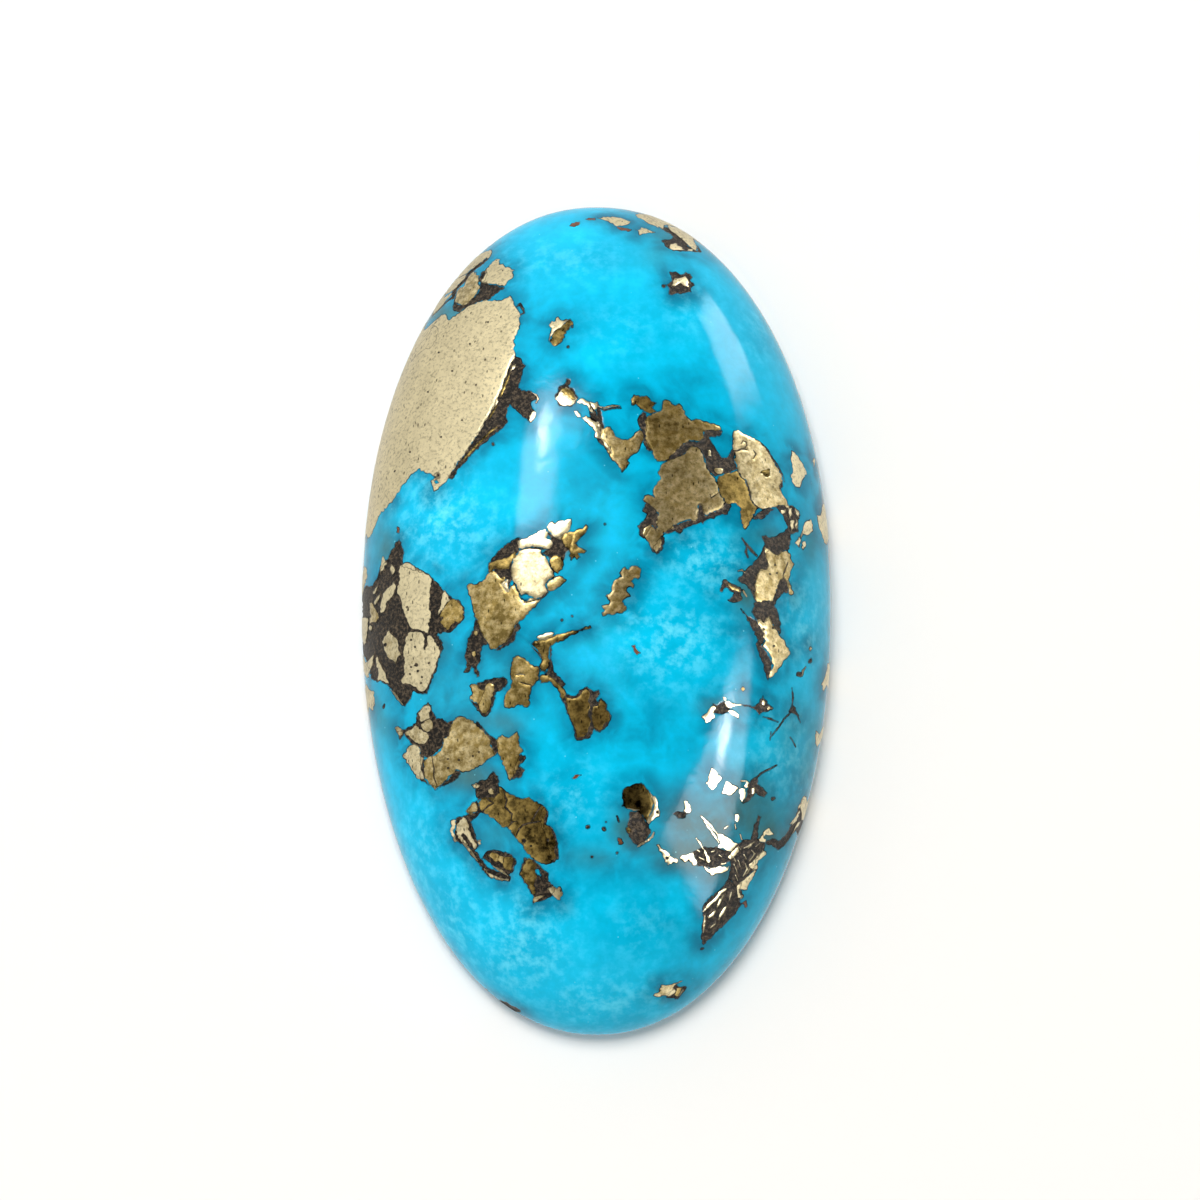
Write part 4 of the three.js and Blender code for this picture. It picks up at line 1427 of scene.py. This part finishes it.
def plate_patches(tree, place, tone, patch):
    """Light and dark patches, partly mottled tarnish and partly painted sheen, highlights and shade,
    strongest on the darker-toned plates.
    """
    # The darker the plate's tone, the stronger its patches: tarnish mottling together with painted sheen and
    # painted shade
    dull_and_shaded = add(tree, "ShaderNodeMapRange", {
        "From Min": 0.25, "From Max": 1.0, "To Min": 1.5, "To Max": 0.12}, Value=tone)
    # Broad sweeps of light and dark across a plate: painted sheen and painted shade, with some mottling of
    # the tarnish
    sweep = add(tree, "ShaderNodeTexNoise", {
        "Scale": per_metre(1.5), "Detail": 2.0, "Distortion": 1.0}, Vector=place)
    broad = add(tree, "ShaderNodeMapRange", {
        "From Min": 0.38, "From Max": 0.62, "To Min": -0.4, "To Max": 0.3}, Value=sweep.outputs["Fac"])
    small = add(tree, "ShaderNodeMapRange", {
        "From Min": 0.4, "From Max": 0.6, "To Min": -0.5, "To Max": 0.5}, Value=patch)
    both = add(tree, "ShaderNodeMath", {"operation": "ADD"},
               i0=broad.outputs["Result"], i1=small.outputs["Result"])
    share = add(tree, "ShaderNodeMath", {"operation": "MULTIPLY_ADD", "i2": 1.0},
                i0=both.outputs["Value"], i1=dull_and_shaded.outputs["Result"])
    return share.outputs["Value"]


def plate_pits(tree, place):
    """Polishing pits, drawn out in one direction."""
    drawn = add(tree, "ShaderNodeMapping", {
        "Rotation": (0.0, 0.0, 0.5), "Scale": (1.0, 0.4, 1.0)}, Vector=place)
    pits = add(tree, "ShaderNodeTexVoronoi", {"Scale": per_metre(0.28)}, Vector=drawn.outputs["Vector"])
    share = add(tree, "ShaderNodeMapRange", {
        "From Min": 0.08, "From Max": 0.15, "To Min": 0.15, "To Max": 1.0}, Value=pits.outputs["Distance"])
    return share.outputs["Result"]


def polished_pyrite(settings):
    """Pyrite ground flush with the stone: pale brass, satin rather than mirror, with fine grain and pits."""
    material, tree, shader = new_material("polished_pyrite", {"Metallic": 1.0, "Roughness": 0.3})
    place = add(tree, "ShaderNodeTexCoord").outputs["Object"]
    tone, edge = mesh_fields(tree, ("tone", "edge_mm"))
    grain = add(tree, "ShaderNodeTexNoise", {
        "Scale": per_metre(0.13), "Detail": 3.0, "Roughness": 0.6}, Vector=place).outputs["Fac"]
    patch = add(tree, "ShaderNodeTexNoise", {
        "Scale": per_metre(0.32), "Detail": 6.0, "Roughness": 0.66}, Vector=place).outputs["Fac"]
    grains = add(tree, "ShaderNodeMapRange", {
        "From Min": 0.5, "From Max": 0.68, "To Min": 1.04, "To Max": 0.6}, Value=grain).outputs["Result"]
    rim = add(tree, "ShaderNodeMapRange", {
        "interpolation_type": "SMOOTHSTEP", "From Max": 0.03, "To Min": 0.35, "To Max": 1.0}, Value=edge)
    patches = plate_patches(tree, place, tone, patch)
    pits = plate_pits(tree, place)
    shade = tone
    for part in (grains, patches, pits, rim.outputs["Result"]):
        shade = add(tree, "ShaderNodeMath", {"operation": "MULTIPLY"}, i0=shade, i1=part).outputs["Value"]
    metal = plate_metal(tree, settings, tone, patch)
    toned = add(tree, "ShaderNodeVectorMath", {"operation": "SCALE"}, Vector=metal, Scale=shade)
    tree.links.new(toned.outputs["Vector"], shader.inputs["Base Color"])
    bump = add(tree, "ShaderNodeBump", {"Strength": 0.3, "Distance": 0.008 * MM}, Height=grain)
    tree.links.new(bump.outputs["Normal"], shader.inputs["Normal"])
    return material


def dark_matrix(settings):
    """Iron-stained host rock, soft and worn back by the polish: dark, gritty and half matt."""
    material, tree, shader = new_material("dark_matrix", {"Roughness": 0.38, "Specular IOR Level": 0.2})
    place = add(tree, "ShaderNodeTexCoord").outputs["Object"]
    grit = add(tree, "ShaderNodeTexNoise", {
        "Scale": per_metre(0.14), "Detail": 6.0, "Roughness": 0.7}, Vector=place).outputs["Fac"]
    share = add(tree, "ShaderNodeMapRange", {"From Min": 0.47, "From Max": 0.66}, Value=grit)
    mixed = add(tree, "ShaderNodeMix", {
        "data_type": "RGBA", "i6": opaque(settings.matrix), "i7": opaque(settings.matrix_grit)},
        i0=share.outputs["Result"])
    tree.links.new(mixed.outputs[2], shader.inputs["Base Color"])
    bump = add(tree, "ShaderNodeBump", {"Strength": 0.8, "Distance": 0.05 * MM}, Height=grit)
    tree.links.new(bump.outputs["Normal"], shader.inputs["Normal"])
    return material


def limonite(settings):
    """Rusty limonite left by weathered pyrite: earthy orange brown, waxy where the polish ran over it."""
    material, tree, shader = new_material("limonite", {"Roughness": 0.35})
    place = add(tree, "ShaderNodeTexCoord").outputs["Object"]
    grit = add(tree, "ShaderNodeTexNoise", {"Scale": per_metre(0.12), "Detail": 4.0}, Vector=place)
    mixed = add(tree, "ShaderNodeMix", {
        "data_type": "RGBA", "i6": opaque(settings.matrix), "i7": opaque(settings.limonite)},
        i0=grit.outputs["Fac"])
    tree.links.new(mixed.outputs[2], shader.inputs["Base Color"])
    return material


class CABOCHON_OT_stone(bpy.types.Operator):
    """Builds the polished stone with its plates, matrix and flat back"""

    bl_idname = "cabochon.stone"
    bl_label = "Build Stone"

    def execute(self, context):
        settings = context.scene.cabochon
        made = StoneMesh(settings)
        mesh = bpy.data.meshes.new("turquoise_cabochon")
        mesh.from_pydata((made.points * MM).tolist(), [], made.faces.tolist())
        lowest = made.points[made.faces][:, :, 2].min(axis=1)
        mesh.polygons.foreach_set("material_index", made.kinds.astype(np.int32))
        mesh.polygons.foreach_set("use_smooth", lowest > GIRDLE_HEIGHT - GIRDLE_TOLERANCE)
        for name, values in made.fields.items():
            mesh.attributes.new(name, "FLOAT", "POINT").data.foreach_set("value", values.astype(np.float32))
        tones = mesh.attributes.new("tone", "FLOAT", "FACE")
        tones.data.foreach_set("value", made.tones.astype(np.float32))
        for make in (polished_turquoise, polished_pyrite, dark_matrix, limonite):
            mesh.materials.append(make(settings))
        if mesh.validate():
            raise RuntimeError("the stone's mesh had bad faces")
        stone = bpy.data.objects.new("turquoise_cabochon", mesh)
        context.scene.collection.objects.link(stone)
        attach(stone, "root")
        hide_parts(NODE)
        return {"FINISHED"}


# Studio

def white_acrylic(settings):
    """Matt white acrylic over a light table: it glows evenly and still shows a soft shadow."""
    material, _, _ = new_material("white_acrylic", {
        "Base Color": opaque(settings.floor), "Roughness": 0.7, "Specular IOR Level": 0.1,
        "Emission Color": opaque(settings.floor), "Emission Strength": settings.floor_glow})
    return material


def softbox_fade(tree, feather, narrow):
    """A softbox's glow across its face: faded towards its edges, and narrower towards its far end."""
    place = add(tree, "ShaderNodeNewGeometry").outputs["Parametric"]
    sides = add(tree, "ShaderNodeSeparateXYZ", Vector=place)
    across, along = sides.outputs["X"], sides.outputs["Y"]
    first = add(tree, "ShaderNodeMapRange", {"To Min": 0.0, "To Max": narrow[0]}, Value=along)
    last = add(tree, "ShaderNodeMapRange", {"To Min": 1.0, "To Max": narrow[1]}, Value=along)
    past_first = add(tree, "ShaderNodeMath", {"operation": "SUBTRACT"}, i0=across, i1=first.outputs["Result"])
    before_last = add(tree, "ShaderNodeMath", {"operation": "SUBTRACT"}, i0=last.outputs["Result"], i1=across)
    from_side = add(tree, "ShaderNodeMath", {"operation": "MINIMUM"},
                    i0=past_first.outputs["Value"], i1=before_last.outputs["Value"])
    from_end = add(tree, "ShaderNodeMath", {"operation": "PINGPONG", "i1": 0.5}, i0=along)
    shares = []
    for inset, fade in zip((from_side, from_end), feather):
        shares.append(add(tree, "ShaderNodeMapRange", {
            "interpolation_type": "SMOOTHSTEP", "From Max": fade}, Value=inset.outputs["Value"]))
    strength = add(tree, "ShaderNodeMath", {"operation": "MULTIPLY"},
                   i0=shares[0].outputs["Result"], i1=shares[1].outputs["Result"])
    return strength.outputs["Value"]


def softbox(name, middle, size, radiance, feather, narrow, facing, mirrored):
    """A light that faces down or to the left, and is either mirrored by the gloss or lights what is matt."""
    light = bpy.data.lights.new(name, "AREA")
    light.shape = "RECTANGLE"
    light.size, light.size_y = size[0] * MM, size[1] * MM
    light.energy = POWER_OF_BRIGHTNESS * radiance * light.size * light.size_y
    light.use_nodes = True
    tree = light.node_tree
    tree.nodes.clear()
    glow = add(tree, "ShaderNodeEmission", Strength=softbox_fade(tree, feather, narrow))
    add(tree, "ShaderNodeOutputLight", Surface=glow.outputs["Emission"])
    item = bpy.data.objects.new(name, light)
    turn = Matrix.Rotation(math.pi / 2, 4, "Y") if facing == "LEFT" else Matrix.Identity(4)
    item.matrix_world = Matrix.Translation(Vector(middle) * MM) @ turn
    item.visible_camera = False
    item.visible_glossy = mirrored
    item.visible_diffuse = not mirrored
    return item


def surroundings(settings):
    """Pale walls round the horizon and a dim ceiling, as light from far away."""
    world = bpy.data.worlds.new("studio")
    world.use_nodes = True
    tree = world.node_tree
    tree.nodes.clear()
    place = add(tree, "ShaderNodeTexCoord").outputs["Generated"]
    height = add(tree, "ShaderNodeVectorMath", {"operation": "DOT_PRODUCT", "i1": SKY_LEAN}, i0=place)
    share = add(tree, "ShaderNodeMapRange", {
        "From Min": -1.0, "From Max": 1.0}, Value=height.outputs["Value"])
    ramp = add(tree, "ShaderNodeValToRGB", Fac=share.outputs["Result"])
    stops = ramp.color_ramp.elements
    while len(stops) < len(SKY_STOPS):
        stops.new(0.5)
    for stop, (position, code) in zip(stops, SKY_STOPS):
        stop.position = position
        stop.color = opaque(linear(code))
    back = add(tree, "ShaderNodeBackground", {"Strength": settings.ambient}, Color=ramp.outputs["Color"])
    add(tree, "ShaderNodeOutputWorld", Surface=back.outputs["Background"])
    return world


def studio_floor(settings):
    """A square floor under the stone."""
    mesh = bpy.data.meshes.new("floor")
    half = FLOOR_SIDE / 2 * MM
    corners = [(-half, -half, 0), (half, -half, 0), (half, half, 0), (-half, half, 0)]
    mesh.from_pydata(corners, [], [(0, 1, 2, 3)])
    mesh.materials.append(white_acrylic(settings))
    return bpy.data.objects.new("floor", mesh)


def studio_camera():
    """The camera, which sees the stone at the pixels that the markings are given in."""
    sight = Sight(Form())
    camera = bpy.data.objects.new("camera", bpy.data.cameras.new("camera"))
    camera.data.sensor_width = SENSOR
    camera.data.lens = SENSOR * CAMERA_DISTANCE * PIXELS_PER_MM / PICTURE_SIDE
    camera.data.clip_start, camera.data.clip_end = CLIP_START * MM, CLIP_END * MM
    axes = Matrix([sight.right, sight.up, sight.back]).transposed().to_4x4()
    camera.matrix_world = Matrix.Translation(Vector(sight.eye) * MM) @ axes
    return camera


class CABOCHON_OT_studio(bpy.types.Operator):
    """Builds the floor, the lights and the camera"""

    bl_idname = "cabochon.studio"
    bl_label = "Build Studio"

    def execute(self, context):
        scene = context.scene
        settings = scene.cabochon_studio
        floor = studio_floor(settings)
        scene.collection.objects.link(floor)
        floor.visible_glossy = False
        scene.world = surroundings(settings)
        scene.view_settings.view_transform = "Standard"
        for name, (middle, size, share, feather, narrow, facing, group) in SOFTBOXES.items():
            radiance = share * getattr(settings, group)
            light = softbox(name, middle, size, radiance, feather, narrow, facing, group != "key")
            scene.collection.objects.link(light)
        scene.camera = studio_camera()
        scene.collection.objects.link(scene.camera)
        return {"FINISHED"}


class CABOCHON_PT_panel(bpy.types.Panel):
    """Lists the builders of the stone and its studio"""

    bl_idname = "CABOCHON_PT_panel"
    bl_label = "Turquoise Cabochon"
    bl_space_type = "VIEW_3D"
    bl_region_type = "UI"
    bl_category = "Cabochon"

    def draw(self, context):
        for operator in (CABOCHON_OT_stone, CABOCHON_OT_studio):
            self.layout.operator(operator.bl_idname)


CLASSES = (CabochonSettings, StudioSettings, CABOCHON_OT_stone, CABOCHON_OT_studio, CABOCHON_PT_panel)


def register():
    for item in CLASSES:
        bpy.utils.register_class(item)
    bpy.types.Scene.cabochon = bpy.props.PointerProperty(type=CabochonSettings)
    bpy.types.Scene.cabochon_studio = bpy.props.PointerProperty(type=StudioSettings)


def unregister():
    del bpy.types.Scene.cabochon_studio
    del bpy.types.Scene.cabochon
    for item in reversed(CLASSES):
        bpy.utils.unregister_class(item)


def main():
    register()
    bpy.ops.cabochon.stone()
    bpy.ops.cabochon.studio()


if __name__ == "__main__":
    main()
